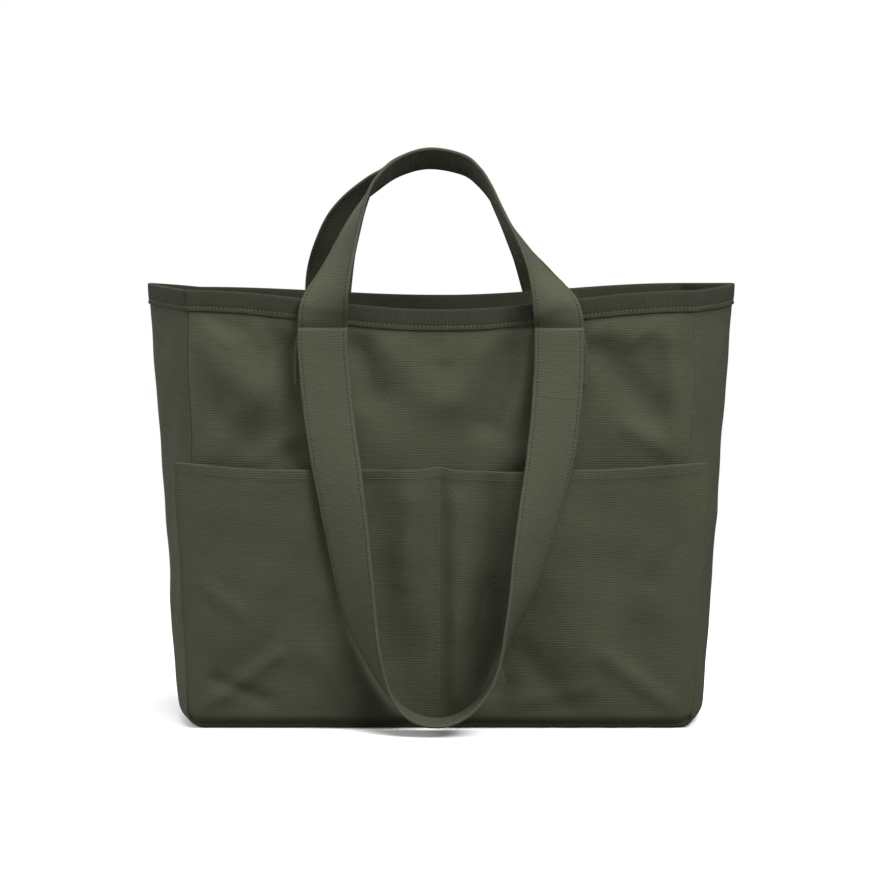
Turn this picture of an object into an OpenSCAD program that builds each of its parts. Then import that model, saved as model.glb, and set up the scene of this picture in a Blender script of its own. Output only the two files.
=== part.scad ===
// Canvas garden tool bag: a flat-bottomed open tote with a divided front pocket, a bound rim,
// two short carrying handles and two long shoulder straps.
// Millimetres. +Z is up, the front faces -Y, and the origin is the middle of the base's underside.

/* [Bag] */
// Width of the front and back panels, seam to seam
panel_w = 402; // [380:2:430]
// Depth of the bag, outside of the front panel to outside of the back panel
bag_d = 160; // [140:2:190]
// Height of the rim at the folds of the gussets
bag_h = 350; // [330:2:380]
// How far the middle of a gusset stands out past the seams at the base
base_belly = 12; // [6:1:20]
// How far the middle of a gusset stands out past the seams at the rim
rim_flare = 36; // [24:1:44]
// Radius of the two lower corners, seen from the front
corner_r = 14; // [8:1:20]
// How far the rim dips at the middle of the front
front_dip = 15; // [6:1:20]
// How far the rim dips at the middle of the back
back_dip = 10; // [6:1:20]
// Thickness of the canvas
cloth = 1.6; // [1.2:0.1:2]

/* [Rim binding] */
// Height of the binding that folds over the rim
binding_h = 15; // [12:1:20]
// Thickness of the binding on each side of the canvas
binding_t = 1.2; // [0.8:0.1:1.4]

/* [Front pocket] */
// Height of the pocket's top edge above the ground, at its middle
pocket_h = 206; // [180:2:220]
// How far the pocket stands off the front panel at its top edge
pocket_room = 11; // [8:1:12]
// How far the pocket's top corners billow out past the side seams
pocket_overhang = 10; // [4:1:12]
// Depth of the pocket's hem
hem_h = 10; // [8:1:14]

/* [Straps] */
// Width of the handles and shoulder straps
strap_w = 38; // [30:1:42]
// Thickness of a folded and stitched strap
strap_t = 3; // [2.4:0.2:3]
// Distance from the middle of the bag to the middle of each strap's sewn end
anchor_x = 93; // [80:1:110]
// Height of a sewn end's lower edge
anchor_z = 275; // [262:1:280]
// Height of the folds where the shoulder straps turn over and hang
strap_fold_z = 316.5; // [314:0.5:317]
// Height of the handles' grips above the place where they leave the bag
handle_rise = 131; // [110:1:150]
// Height of a hanging shoulder strap's lowest point
strap_low_z = 6.5; // [5:0.5:40]
// Height at which a shoulder strap's loop bends against its two legs
strap_bend_z = 250; // [235:1:258]

/* [Hidden] */

canvas_colour = [0.31, 0.33, 0.27];
strap_colour = [0.34, 0.36, 0.30];
binding_colour = [0.27, 0.29, 0.23];
thread_colour = [0.20, 0.21, 0.16];

gap = 0.2;                                  // between pieces that are sewn face to face
half_w = panel_w / 2;
half_d = bag_d / 2;
seam_rim_z = bag_h - 3;                     // rim height at the four side seams
rim_cover = 1.5;                            // from the top of the binding down to the canvas edge in it
binding_in = cloth / 2 + 0.2;               // from the middle of the canvas to the binding around it
binding_out = binding_in + binding_t;       // and to the binding's face
thread = 0.25;                              // how far thread stands up from the cloth
thread_w = 0.8;
thread_gap = 0.05;
// wider on a strap, because a twisted strap's flat facets stand above its middle
strap_thread_gap = 0.5;

handle_y = -(half_d + 3.4);                 // where the front handle leaves the bag
handle_z = strap_fold_z + 2.5;
strap_y = -(half_d + 8);                    // the front shoulder strap's fold
end_y = half_d + 0.1;                       // inner face of a sewn handle end
end_top_gap = 0.3;
bend_gap = 0.6;                             // from the bend's axis to the cloth on either side of it

// ---- curves and swept solids ----

// A point of the Catmull-Rom curve between p1 and p2.
function curve_point(p0, p1, p2, p3, t) =
    0.5 * (2 * p1 + (p2 - p0) * t + (2 * p0 - 5 * p1 + 4 * p2 - p3) * t * t
        + (3 * p1 - p0 - 3 * p2 + p3) * t * t * t);

// A smooth line through the points, with n steps from each to the next.
function smooth_line(p, n) = [
    for (i = [0:len(p) - 2], k = [0:n - 1])
        curve_point(p[max(i - 1, 0)], p[i], p[i + 1], p[min(i + 2, len(p) - 1)], k / n),
    p[len(p) - 1]
];

function unit(v) = v / norm(v);
function mix(a, b, t) = a + (b - a) * t;

// Faces of a grid of rings, each ring closed, from the first ring to the last. Both ends are capped by
// four-sided faces, each between two points of the ring's first half and the two across from them.
module rings(points, per_ring) {
    n = len(points) / per_ring;
    last = (n - 1) * per_ring;
    polyhedron(points, concat(
        [for (j = [0:per_ring / 2 - 2]) [j, j + 1, per_ring - 2 - j, per_ring - 1 - j]],
        [for (i = [0:n - 2], j = [0:per_ring - 1]) let(k = (j + 1) % per_ring)
            each [[i * per_ring + j, (i + 1) * per_ring + k, i * per_ring + k],
                  [i * per_ring + j, (i + 1) * per_ring + j, (i + 1) * per_ring + k]]],
        [for (j = [0:per_ring / 2 - 2])
            [last + per_ring - 1 - j, last + per_ring - 2 - j, last + j + 1, last + j]]
    ));
}

// The same, with the last ring joined to the first.
module closed_rings(points, per_ring) {
    n = len(points) / per_ring;
    polyhedron(points, [
        for (i = [0:n - 1], j = [0:per_ring - 1])
            let(k = (j + 1) % per_ring, a = i * per_ring, b = ((i + 1) % n) * per_ring)
            each [[a + j, b + k, a + k], [a + j, b + j, b + k]]
    ]);
}

// A curved sheet given as a grid of outer points and the inner points under them.
module sheet(outer, inner) {
    rows = len(outer);
    cols = len(outer[0]);
    rings([for (i = [0:rows - 1]) each concat(outer[i], [for (j = [cols - 1:-1:0]) inner[i][j]])], 2 * cols);
}

// ---- the bag's form ----

// How far a gusset's middle stands out past the seams at height z.
function flare(z) = mix(base_belly, rim_flare, z / bag_h);
// The shape of a gusset across its width, from -1 at the front seam to 1 at the back one:
// round at the base, and closer to a fold at the rim.
function bow(s, z) = 1 - pow(abs(s), mix(2, 1.25, min(1, z / bag_h)));
// Distance of a gusset's outer face from the bag's middle, above the corner.
function gusset_x(s, z) = half_w + flare(z) * bow(s, z);
// Height of the rim at x along a panel, and across a gusset.
function panel_rim_z(x, dip) = seam_rim_z - dip * pow(cos(90 * min(1, abs(x) / half_w)), 2);
function gusset_rim_z(s) = mix(bag_h, seam_rim_z, abs(s));

// Quarter circle of the lower corner as [distance in from the side, height], from the base up.
function corner_arc(r, steps) =
    [for (i = [0:steps]) let(a = 90 * i / steps) [r - r * sin(a), r - r * cos(a)]];

// Outline of a panel seen from the front, with round lower corners and a dipped top.
function panel_outline(w, low, r, dip) = concat(
    [for (p = corner_arc(r, 8)) [w - p[0], low + p[1]]],
    [for (i = [16:-1:-16]) [w * i / 16, panel_rim_z(w * i / 16, dip) - rim_cover]],
    [for (i = [8:-1:0]) let(p = corner_arc(r, 8)[i]) [p[0] - w, low + p[1]]]
);

// A panel standing at the front. side is 1 for the front and -1 for the back.
module panel(side, dip) {
    edge = cloth + gap;
    color(canvas_colour)
    mirror([0, side < 0 ? 1 : 0, 0])
    translate([0, cloth - half_d, 0])
    rotate([90, 0, 0])
    linear_extrude(cloth)
    polygon(panel_outline(half_w - edge, edge, corner_r - edge, dip));
}

module front_panel() { panel(1, front_dip); }
module back_panel() { panel(-1, back_dip); }

// A gusset: a strip that turns under at the base, bows outwards, and flares towards the rim.
// Its profile, from the base up, is [share of the height above the corner, angle of the corner].
module gusset(side) {
    cols = 16;
    profile = concat([for (a = [0:18:72]) [0, a]], [for (t = [0:0.05:1]) [t, 90]]);
    outer = [for (p = profile) [for (j = [0:cols]) gusset_point(p, 2 * j / cols - 1, 0)]];
    inner = [for (p = profile) [for (j = [0:cols]) gusset_point(p, 2 * j / cols - 1, cloth)]];
    color(canvas_colour)
    mirror([side < 0 ? 1 : 0, 0, 0])
    sheet(outer, inner);
}

// A point of the right gusset at a place in its profile, at s across, and at a depth in the cloth.
function gusset_point(p, s, depth) =
    let(
        top = gusset_rim_z(s) - rim_cover,
        z = p[1] < 90 ? corner_r * (1 - cos(p[1])) : mix(corner_r, top, p[0]),
        turned_in = corner_r * (1 - sin(p[1])),
        x = gusset_x(s, z) - turned_in
    )
    [x - depth * sin(p[1]), s * (half_d - cloth / 2), z + depth * cos(p[1])];

module left_gusset() { gusset(-1); }
module right_gusset() { gusset(1); }

module base_panel() {
    side = [for (i = [-16:16]) let(s = i / 16) [half_w - corner_r - gap + flare(0) * bow(s, 0), s * half_d]];
    color(canvas_colour)
    linear_extrude(cloth)
    polygon(concat(side, [for (i = [32:-1:0]) [-side[i][0], side[i][1]]]));
}

// ---- the rim ----

// The middle of the canvas all round the mouth, counter-clockwise, as [x, y, z of the binding's top, lean].
// The lean is how far the canvas moves outwards for each millimetre of height.
function gusset_mouth(s) =
    let(
        z = gusset_rim_z(s),
        x = gusset_x(s, z),
        lean = (x - gusset_x(s, z - binding_h)) / binding_h
    )
    [x - cloth / 2, s * (half_d - cloth / 2), z, lean];
function panel_mouth(side, x, dip) = [x, side * (cloth / 2 - half_d), panel_rim_z(x, dip), 0];
mouth = concat(
    [for (i = [-10:9]) panel_mouth(1, (half_w - cloth / 2) * i / 10, front_dip)],
    [for (i = [-8:7]) gusset_mouth(i / 8)],
    [for (i = [10:-1:-9]) panel_mouth(-1, (half_w - cloth / 2) * i / 10, back_dip)],
    [for (i = [8:-1:-7]) let(p = gusset_mouth(i / 8)) [-p[0], p[1], p[2], p[3]]]
);

// Outward direction at point i of the mouth, lengthened so that the cloth keeps its thickness at a corner.
function mouth_out(i) =
    let(
        n = len(mouth),
        a = unit([for (k = [0:1]) (mouth[i] - mouth[(i + n - 1) % n])[k]]),
        b = unit([for (k = [0:1]) (mouth[(i + 1) % n] - mouth[i])[k]]),
        m = unit([a[1] + b[1], -a[0] - b[0]])
    )
    m / max(0.5, m * [b[1], -b[0]]);

// A section of [distance out, height below the top], carried all round the mouth.
module around_mouth(section) {
    closed_rings([
        for (i = [0:len(mouth) - 1], q = section)
            let(p = mouth[i], out = mouth_out(i))
                [p[0] + out[0] * q[0] - sign(p[0]) * p[3] * q[1], p[1] + out[1] * q[0], p[2] - q[1]]
    ], len(section));
}

module rim_binding() {
    color(binding_colour)
    around_mouth([
        [binding_out, binding_h], [binding_out, 0], [-binding_out, 0], [-binding_out, binding_h],
        [-binding_in, binding_h], [-binding_in, binding_t + 0.1],
        [binding_in, binding_t + 0.1], [binding_in, binding_h]
    ]);
}

module rim_stitching() {
    near = binding_out + thread_gap;
    z = binding_h - 3;
    color(thread_colour)
    around_mouth([[near + thread, z + thread_w], [near + thread, z], [near, z], [near, z + thread_w]]);
}

// ---- the front pocket ----

// Half of the pocket seen from above, from the divider seam to the side seam, as
// [share of the half width, share of the overhang, share of the room].
pocket_half = smooth_line([
    [0, 0, 0], [0.06, 0, 0.3], [0.18, 0, 0.8], [0.4, 0, 1], [0.65, 0, 1], [0.88, 0, 0.92],
    [0.98, 0.6, 0.75], [1, 1, 0.45], [1, 0.7, 0.12], [1, 0, 0]
], 2);
pocket_foot = 3;                            // height of the pocket's lower edge
pocket_end = cloth + gap;                   // the pocket's edge is caught in the seam this far in

function pocket_room_at(v) = mix(4, pocket_room, pow(v, 0.8));
function pocket_point(q, v) = [
    (half_w - pocket_end) * q[0] + pocket_overhang * v * q[1],
    -(half_d + gap + cloth + pocket_room_at(v) * q[2])
];
// The pocket's line at share v of its height, from left to right.
function pocket_line(v) = concat(
    [for (i = [len(pocket_half) - 1:-1:1]) let(p = pocket_point(pocket_half[i], v)) [-p[0], p[1]]],
    [for (q = pocket_half) pocket_point(q, v)]
);
function pocket_low_z(x) =
    let(in = max(0, abs(x) - half_w + corner_r))
    pocket_foot + corner_r - sqrt(max(0, pow(corner_r, 2) - in * in));
function pocket_top_z(x) = pocket_h + 5 * pow(min(1, abs(x) / half_w), 4);

// Direction out of the cloth at point i of a line.
function line_out(line, i) =
    let(a = line[max(i - 1, 0)], b = line[min(i + 1, len(line) - 1)], t = unit(b - a)) [t[1], -t[0]];

// The pocket's points at share v of its height, this far out from its outer face.
function pocket_row(v, out) =
    let(line = pocket_line(v))
    [for (i = [0:len(line) - 1]) let(p = line[i], n = line_out(line, i))
        [p[0] + n[0] * out, p[1] + n[1] * out, mix(pocket_low_z(p[0]), pocket_top_z(p[0]), v)]];

module front_pocket() {
    shares = [0, 0.05, 0.15, 0.3, 0.45, 0.6, 0.75, 0.88, 1];
    color(canvas_colour)
    sheet([for (v = shares) pocket_row(v, 0)], [for (v = shares) pocket_row(v, -cloth)]);
}

module pocket_hem_stitching() {
    v = 1 - hem_h / pocket_h;
    step = [0, 0, thread_w];
    lift = 0.15;
    // the row ends short of the billowed corners
    keep = [5:len(pocket_line(v)) - 6];
    near = pocket_row(v, lift);
    far = pocket_row(v, lift + thread);
    color(thread_colour)
    rings([for (i = keep) each [near[i], far[i], far[i] + step, near[i] + step]], 4);
}

module pocket_divider_stitching() {
    face = half_d + gap + cloth + thread_gap + 0.1;
    color(thread_colour)
    translate([-thread_w / 2, -face - thread, pocket_foot + 4])
    cube([thread_w, thread, pocket_h - hem_h - pocket_foot - 6]);
}

// ---- the inside ----

// Tape folded over the raw edges of one panel's seam: down one side, along the base and up the other.
module seam_binding(side) {
    tape_w = 9;
    tape_t = 2.4;
    low = cloth + 0.3;
    out_w = half_w - low;
    top = seam_rim_z - binding_h - 2;
    color(binding_colour)
    mirror([0, side < 0 ? 1 : 0, 0])
    translate([0, cloth + gap + tape_w - half_d, 0])
    rotate([90, 0, 0])
    linear_extrude(tape_w)
    difference() {
        tape_outline(out_w, low, corner_r - low, top);
        translate([0, 0.01])
        tape_outline(out_w - tape_t, low + tape_t, corner_r - low - tape_t, top);
    }
}

module tape_outline(w, low, r, top) {
    polygon(concat(
        [for (p = corner_arc(r, 8)) [w - p[0], low + p[1]]],
        [[w, top], [-w, top]],
        [for (i = [8:-1:0]) let(p = corner_arc(r, 8)[i]) [p[0] - w, low + p[1]]]
    ));
}

module front_seam_binding() { seam_binding(1); }
module back_seam_binding() { seam_binding(-1); }

// ---- sewn ends ----

// Turns a module made for the front left anchor to any of the four.
module at_anchor(side, hand) {
    mirror([0, side < 0 ? 1 : 0, 0])
    mirror([hand > 0 ? 1 : 0, 0, 0])
    translate([-anchor_x, 0, 0])
    children();
}

// The handle's end, sewn flat on the panel from the anchor's lower edge to just below the rim.
module handle_end(side, hand) {
    top = handle_z - strap_t / 2 - end_top_gap;
    color(strap_colour)
    at_anchor(side, hand)
    translate([-strap_w / 2, -end_y - strap_t, anchor_z])
    cube([strap_w, strap_t, top - anchor_z]);
}

// The shoulder strap's end, sewn on top of the handle's.
module strap_end(side, hand) {
    color(strap_colour)
    at_anchor(side, hand)
    translate([-strap_w / 2, -end_y - 2 * strap_t - 0.1, anchor_z])
    cube([strap_w, strap_t, strap_fold_z - 0.5 - anchor_z]);
}

// A box of thread with a cross in it, on each of one side's two anchors.
module anchor_stitching(side) {
    box_w = strap_w - 6;
    box_h = strap_fold_z - anchor_z - 12;
    face = end_y + 2 * strap_t + 0.1 + thread_gap;
    color(thread_colour)
    for (hand = [-1, 1])
        at_anchor(side, hand)
        translate([0, -face, anchor_z + 3 + box_h / 2])
        rotate([90, 0, 0])
        linear_extrude(thread)
        union() {
            difference() {
                square([box_w, box_h], center = true);
                square([box_w - 2 * thread_w, box_h - 2 * thread_w], center = true);
            }
            for (turn = [-1, 1])
                rotate(turn * atan(box_h / box_w))
                square([norm([box_w, box_h]) - 2 * thread_w, thread_w], center = true);
        }
}

// ---- handles and shoulder straps ----

// A handle's line from its left end to its right end, as
// [x as a share of anchor_x, share of the way in over the mouth, share of the rise, twist, lean].
// A twist of 0 is flat against the panel, and one of 90 turns the inner edge to the front.
handle_reach = 47;                          // how far the grip is inside the place where the handle starts
front_handle_line = [
    [-1, 0, 0, 0, 0], [-0.99, 0, 0.1, 0, 0], [-0.97, 0, 0.19, 3, 10], [-0.9, 0.13, 0.33, 16, 24],
    [-0.81, 0.32, 0.47, 34, 24], [-0.7, 0.53, 0.65, 55, 24], [-0.58, 0.74, 0.82, 74, 24],
    [-0.36, 0.92, 0.95, 86, 24], [-0.08, 1, 1, 90, 24], [0.21, 0.95, 0.95, 88, 24],
    [0.41, 0.79, 0.83, 74, 24], [0.54, 0.6, 0.69, 58, 24], [0.69, 0.38, 0.51, 38, 24],
    [0.83, 0.17, 0.34, 18, 24], [0.95, 0, 0.19, 3, 10], [0.99, 0, 0.1, 0, 0], [1, 0, 0, 0, 0]
];
back_handle_line = [
    [-1, 0, 0, 0, 0], [-1.01, 0, 0.1, 0, 0], [-1.01, 0, 0.19, 2, 10], [-0.99, 0.13, 0.33, 10, 24],
    [-0.95, 0.32, 0.47, 24, 24], [-0.85, 0.53, 0.65, 46, 24], [-0.69, 0.74, 0.82, 68, 24],
    [-0.45, 0.92, 0.95, 85, 24], [-0.13, 1, 1, 90, 24], [0.17, 0.95, 0.95, 88, 24],
    [0.37, 0.79, 0.83, 74, 24], [0.5, 0.6, 0.69, 58, 24], [0.65, 0.38, 0.51, 38, 24],
    [0.79, 0.17, 0.34, 18, 24], [0.92, 0, 0.19, 3, 10], [0.97, 0, 0.1, 0, 0], [1, 0, 0, 0, 0]
];

// A hanging shoulder strap's line, as [x as a share of anchor_x, how far it stands out from its fold,
// share of its drop that is left, twist, lean].
strap_line = [
    [-1, 0, 1, 0, 0], [-1, 1.5, 0.95, 0, 0], [-0.96, 5.5, 0.82, 0, 0], [-0.91, 11, 0.71, -6, 0],
    [-0.81, 17.5, 0.52, -24, 0], [-0.69, 20, 0.29, -47, 0], [-0.59, 21, 0.18, -66, 0],
    [-0.44, 21.5, 0.075, -83, 0], [-0.26, 21.5, 0.018, -90, 0], [-0.02, 21.5, 0, -90, 0],
    [0.2, 21.5, 0.021, -90, 0], [0.38, 21.5, 0.075, -90, 0], [0.5, 21.5, 0.15, -87, 0],
    [0.6, 21.5, 0.25, -74, 0], [0.69, 21, 0.34, -58, 0], [0.77, 19.5, 0.45, -42, 0],
    [0.85, 16.5, 0.56, -26, 0], [0.94, 11, 0.71, -8, 0], [0.99, 4, 0.87, 0, 0], [1, 0, 1, 0, 0]
];

// The lines in millimetres, as [x, y, z, twist, lean], for the front of the bag.
function handle_path(line) = [
    for (p = smooth_line(line, 3))
        [p[0] * anchor_x, handle_y + p[1] * handle_reach, handle_z + p[2] * handle_rise, p[3], p[4]]
];
function strap_path() = [
    for (p = smooth_line(strap_line, 3))
        [p[0] * anchor_x, strap_y - p[1], mix(strap_low_z, strap_fold_z, p[2]), p[3], p[4]]
];

function place(q) = [q[0], q[1], q[2]];

// Direction across the strap, and direction out of its face, at point i of a path. Both ends are cut level.
function strap_axes(path, i) =
    let(
        last = len(path) - 1,
        along = place(path[min(i + 1, last)]) - place(path[max(i - 1, 0)]),
        t = i == 0 || i == last ? [0, 0, sign(along[2])] : unit(along),
        lean = path[i][4],
        plane = unit([0, -cos(lean), sin(lean)]),
        flat = unit(cross(t, plane)),
        across = unit(flat * cos(path[i][3]) + plane * sin(path[i][3])),
        out = unit(cross(across, t))
    )
    [across, out];

// A band along the path: from a to b across the strap, and from low to high out of its middle.
module band(path, a, b, low, high) {
    rings([
        for (i = [0:len(path) - 1], q = [[b, low], [b, high], [a, high], [a, low]])
            let(axes = strap_axes(path, i)) place(path[i]) + axes[0] * q[0] + axes[1] * q[1]
    ], 4);
}

// A strap, or one length of it: a band with a flat section.
module strap(path) {
    color(strap_colour)
    band(path, -strap_w / 2, strap_w / 2, -strap_t / 2, strap_t / 2);
}

// Two rows of thread on the strap's outer face, one near each edge.
module edge_stitching(path) {
    in = 3;
    near = strap_t / 2 + strap_thread_gap;
    inner = [for (i = [1:len(path) - 2]) path[i]];
    color(thread_colour)
    for (edge = [-1, 1])
        let(at = edge * (strap_w / 2 - in))
        band(inner, at - thread_w / 2, at + thread_w / 2, near, near + thread);
}

// The point where a path crosses a height between two of its points.
function crossing(a, b, z) = mix(a, b, (z - a[2]) / (b[2] - a[2]));
// The number of points of a hanging strap's path that come before it drops below a height, from its left end.
function points_above(path, z) = len([for (i = [0:round(len(path) / 2)]) if (path[i][2] > z) i]);
// The number of points that come after it rises above the height again, up to its right end.
function points_after(path, z) = len([for (i = [round(len(path) / 2):len(path) - 1]) if (path[i][2] > z) i]);

// The left leg, the right leg and the loop of a hanging strap's path, cut at the bend.
function left_leg(path) =
    let(z = strap_bend_z + bend_gap, n = points_above(path, z))
    concat([for (i = [0:n - 1]) path[i]], [crossing(path[n - 1], path[n], z)]);
function right_leg(path) =
    let(z = strap_bend_z + bend_gap, n = len(path) - points_after(path, z))
    concat([crossing(path[n - 1], path[n], z)], [for (i = [n:len(path) - 1]) path[i]]);
function loop(path) =
    let(z = strap_bend_z - bend_gap, n = points_above(path, z), m = len(path) - points_after(path, z))
    concat(
        [crossing(path[n - 1], path[n], z)],
        [for (i = [n:m - 1]) path[i]],
        [crossing(path[m - 1], path[m], z)]
    );

module for_side(side) {
    mirror([0, side < 0 ? 1 : 0, 0])
    children();
}

module front_handle() { strap(handle_path(front_handle_line)); }
module back_handle() { for_side(-1) strap(handle_path(back_handle_line)); }
module front_handle_stitching() { edge_stitching(handle_path(front_handle_line)); }
module back_handle_stitching() { for_side(-1) edge_stitching(handle_path(back_handle_line)); }
module strap_legs() {
    strap(left_leg(strap_path()));
    strap(right_leg(strap_path()));
}
module leg_stitching() {
    edge_stitching(left_leg(strap_path()));
    edge_stitching(right_leg(strap_path()));
}
module front_strap_legs() { strap_legs(); }
module back_strap_legs() { for_side(-1) strap_legs(); }
module front_leg_stitching() { leg_stitching(); }
module back_leg_stitching() { for_side(-1) leg_stitching(); }
module front_strap_loop() { strap(loop(strap_path())); }
module back_strap_loop() { for_side(-1) strap(loop(strap_path())); }
module front_loop_stitching() { edge_stitching(loop(strap_path())); }
module back_loop_stitching() { for_side(-1) edge_stitching(loop(strap_path())); }

front_panel();
back_panel();
left_gusset();
right_gusset();
base_panel();
rim_binding();
front_pocket();
front_seam_binding();
back_seam_binding();
rim_stitching();
pocket_hem_stitching();
pocket_divider_stitching();
anchor_stitching(1);  // front_anchor_stitching
anchor_stitching(-1);  // back_anchor_stitching
handle_end(1, -1);  // front_left_handle_end
handle_end(1, 1);  // front_right_handle_end
handle_end(-1, -1);  // back_left_handle_end
handle_end(-1, 1);  // back_right_handle_end
strap_end(1, -1);  // front_left_strap_end
strap_end(1, 1);  // front_right_strap_end
strap_end(-1, -1);  // back_left_strap_end
strap_end(-1, 1);  // back_right_strap_end
front_handle();
front_handle_stitching();
back_handle();
back_handle_stitching();
front_strap_legs();
front_leg_stitching();
front_strap_loop();
front_loop_stitching();
back_strap_legs();
back_leg_stitching();
back_strap_loop();
back_loop_stitching();
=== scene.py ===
"""A canvas garden tool bag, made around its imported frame.

Lengths are metres, +Z is up and the front faces -Y.
"""

import math

import bpy
import numpy as np
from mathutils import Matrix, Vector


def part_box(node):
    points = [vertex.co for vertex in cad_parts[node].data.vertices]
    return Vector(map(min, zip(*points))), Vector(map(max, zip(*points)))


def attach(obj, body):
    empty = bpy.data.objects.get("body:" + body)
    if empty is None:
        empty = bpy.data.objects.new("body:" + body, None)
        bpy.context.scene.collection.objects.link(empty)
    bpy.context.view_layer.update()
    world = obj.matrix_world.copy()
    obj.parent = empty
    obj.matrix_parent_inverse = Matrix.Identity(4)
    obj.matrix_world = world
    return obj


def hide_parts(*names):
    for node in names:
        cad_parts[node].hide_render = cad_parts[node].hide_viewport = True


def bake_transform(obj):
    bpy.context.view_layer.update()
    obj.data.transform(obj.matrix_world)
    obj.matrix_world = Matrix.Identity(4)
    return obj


bl_info = {
    "name": "Garden Tool Bag",
    "version": (1, 0, 0),
    "blender": (4, 5, 0),
    "location": "3D View > Sidebar > Tool Bag",
    "description": "Builds a canvas tool bag with a divided front pocket, handles and shoulder straps",
    "category": "Add Mesh",
}

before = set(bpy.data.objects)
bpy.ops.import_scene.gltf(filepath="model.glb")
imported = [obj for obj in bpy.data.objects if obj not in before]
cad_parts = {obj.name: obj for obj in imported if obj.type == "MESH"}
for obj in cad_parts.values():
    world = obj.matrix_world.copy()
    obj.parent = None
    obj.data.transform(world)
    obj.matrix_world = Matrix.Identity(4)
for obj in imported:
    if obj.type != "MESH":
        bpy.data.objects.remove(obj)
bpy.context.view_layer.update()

MM = 0.001
SEAM_IN = 1.8 * MM  # the frame's panels stop this far inside the gussets
HALF_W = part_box("front_panel")[1].x + SEAM_IN
HALF_D = -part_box("front_panel")[0].y
RIM_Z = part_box("rim_binding")[1].z
SEAM_RIM_Z = RIM_Z - 3 * MM
CORNER_R = 14 * MM
BASE_BELLY = 12 * MM
RIM_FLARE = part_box("right_gusset")[1].x - HALF_W
ANCHOR_X = 0.5 * (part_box("front_right_handle_end")[0].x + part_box("front_right_handle_end")[1].x)
ANCHOR_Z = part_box("front_right_handle_end")[0].z
END_TOP_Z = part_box("front_right_handle_end")[1].z
STRAP_TOP_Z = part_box("front_strap_legs")[1].z
STRAP_LOW_Z = 9.5 * MM
HANDLE_Z = STRAP_TOP_Z + 2.5 * MM
HANDLE_RISE = 133 * MM
HANDLE_REACH = 47 * MM
HANDLE_Y = -(HALF_D + 3.4 * MM)
STRAP_Y = -(HALF_D + 8 * MM)
BEND_Z = 250 * MM
HANDLE_END_Y = -(HALF_D + 1.6 * MM)
STRAP_END_Y = -(HALF_D + 4.7 * MM)
FRONT, BACK = 1, -1
LEFT, RIGHT = -1, 1
SIDES = ((FRONT, "front"), (BACK, "back"))
HANDS = ((LEFT, "left"), (RIGHT, "right"))


class BagCloth(bpy.types.PropertyGroup):
    """Sizes and colours of the bag's cloth"""

    thickness: bpy.props.FloatProperty(
        name="Canvas thickness", description="Thickness of the canvas", default=1.2 * MM, unit="LENGTH"
    )
    lip: bpy.props.FloatProperty(
        name="Seam roll", description="Radius of the cloth's roll into a seam",
        default=1.2 * MM, unit="LENGTH"
    )
    step: bpy.props.FloatProperty(
        name="Mesh step", description="Distance between the cloth's mesh lines", default=3 * MM, unit="LENGTH"
    )
    rib: bpy.props.FloatProperty(
        name="Rib pitch", description="Distance between the ribs of the weave",
        default=1.35 * MM, unit="LENGTH"
    )
    colour: bpy.props.FloatVectorProperty(
        name="Canvas colour", description="Colour of the canvas",
        default=(0.0385, 0.0415, 0.0258), subtype="COLOR"
    )
    strap_colour: bpy.props.FloatVectorProperty(
        name="Strap colour", description="Colour of the straps",
        default=(0.043, 0.0465, 0.0298), subtype="COLOR"
    )
    binding_colour: bpy.props.FloatVectorProperty(
        name="Binding colour", description="Colour of the rim binding and the inner tapes",
        default=(0.0225, 0.0243, 0.0155), subtype="COLOR"
    )
    # painted shade: the strap thread is darker than the strap, for the shade in its sunken rows of stitches
    strap_thread_shade_colour: bpy.props.FloatVectorProperty(
        name="Strap thread colour", description="Colour of the thread along the straps",
        default=(0.022, 0.0235, 0.016), subtype="COLOR"
    )
    # painted shade: this thread is far darker than the canvas, standing in for the shade in its sunken stitch
    # holes
    thread_shade_colour: bpy.props.FloatVectorProperty(
        name="Thread colour", description="Colour of the thread on the rim, pocket and sewn ends",
        default=(0.005, 0.0055, 0.004), subtype="COLOR"
    )


class BagStraps(bpy.types.PropertyGroup):
    """Sizes of the handles and shoulder straps"""

    width: bpy.props.FloatProperty(
        name="Strap width", description="Width of the handles and shoulder straps",
        default=39 * MM, unit="LENGTH"
    )
    thickness: bpy.props.FloatProperty(
        name="Strap thickness", description="Thickness of a folded strap", default=2.6 * MM, unit="LENGTH"
    )
    hem: bpy.props.FloatProperty(
        name="Edge stitch", description="From a strap's edge to its row of stitches",
        default=3 * MM, unit="LENGTH"
    )


class BagStitches(bpy.types.PropertyGroup):
    """Sizes of the stitches"""

    pitch: bpy.props.FloatProperty(
        name="Stitch pitch", description="Distance from one stitch to the next",
        default=3.1 * MM, unit="LENGTH"
    )
    length: bpy.props.FloatProperty(
        name="Stitch length", description="Length of the thread that shows", default=1.9 * MM, unit="LENGTH"
    )
    width: bpy.props.FloatProperty(
        name="Thread width", description="Width of the thread", default=0.95 * MM, unit="LENGTH"
    )


class BagStage(bpy.types.PropertyGroup):
    """Light and floor"""

    key: bpy.props.FloatProperty(
        name="Main light", description="Strength of the lights on the right and above",
        default=72, unit="POWER"
    )
    fill: bpy.props.FloatProperty(
        name="Fill light", description="Strength of the lights on the left and behind",
        default=60, unit="POWER"
    )
    sky: bpy.props.FloatProperty(
        name="Sky", description="Strength of the even light from all round", default=0.28, min=0, max=1
    )
    floor_colour: bpy.props.FloatVectorProperty(
        name="Floor colour", description="Colour of the floor", default=(0.9, 0.9, 0.9), subtype="COLOR"
    )


# ---- curves ----


def mix(a, b, t):
    return a + (b - a) * t


def smoothstep(t):
    t = np.clip(t, 0, 1)
    return t * t * (3 - 2 * t)


def unit(v):
    return v / np.linalg.norm(v, axis=-1, keepdims=True)


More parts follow.
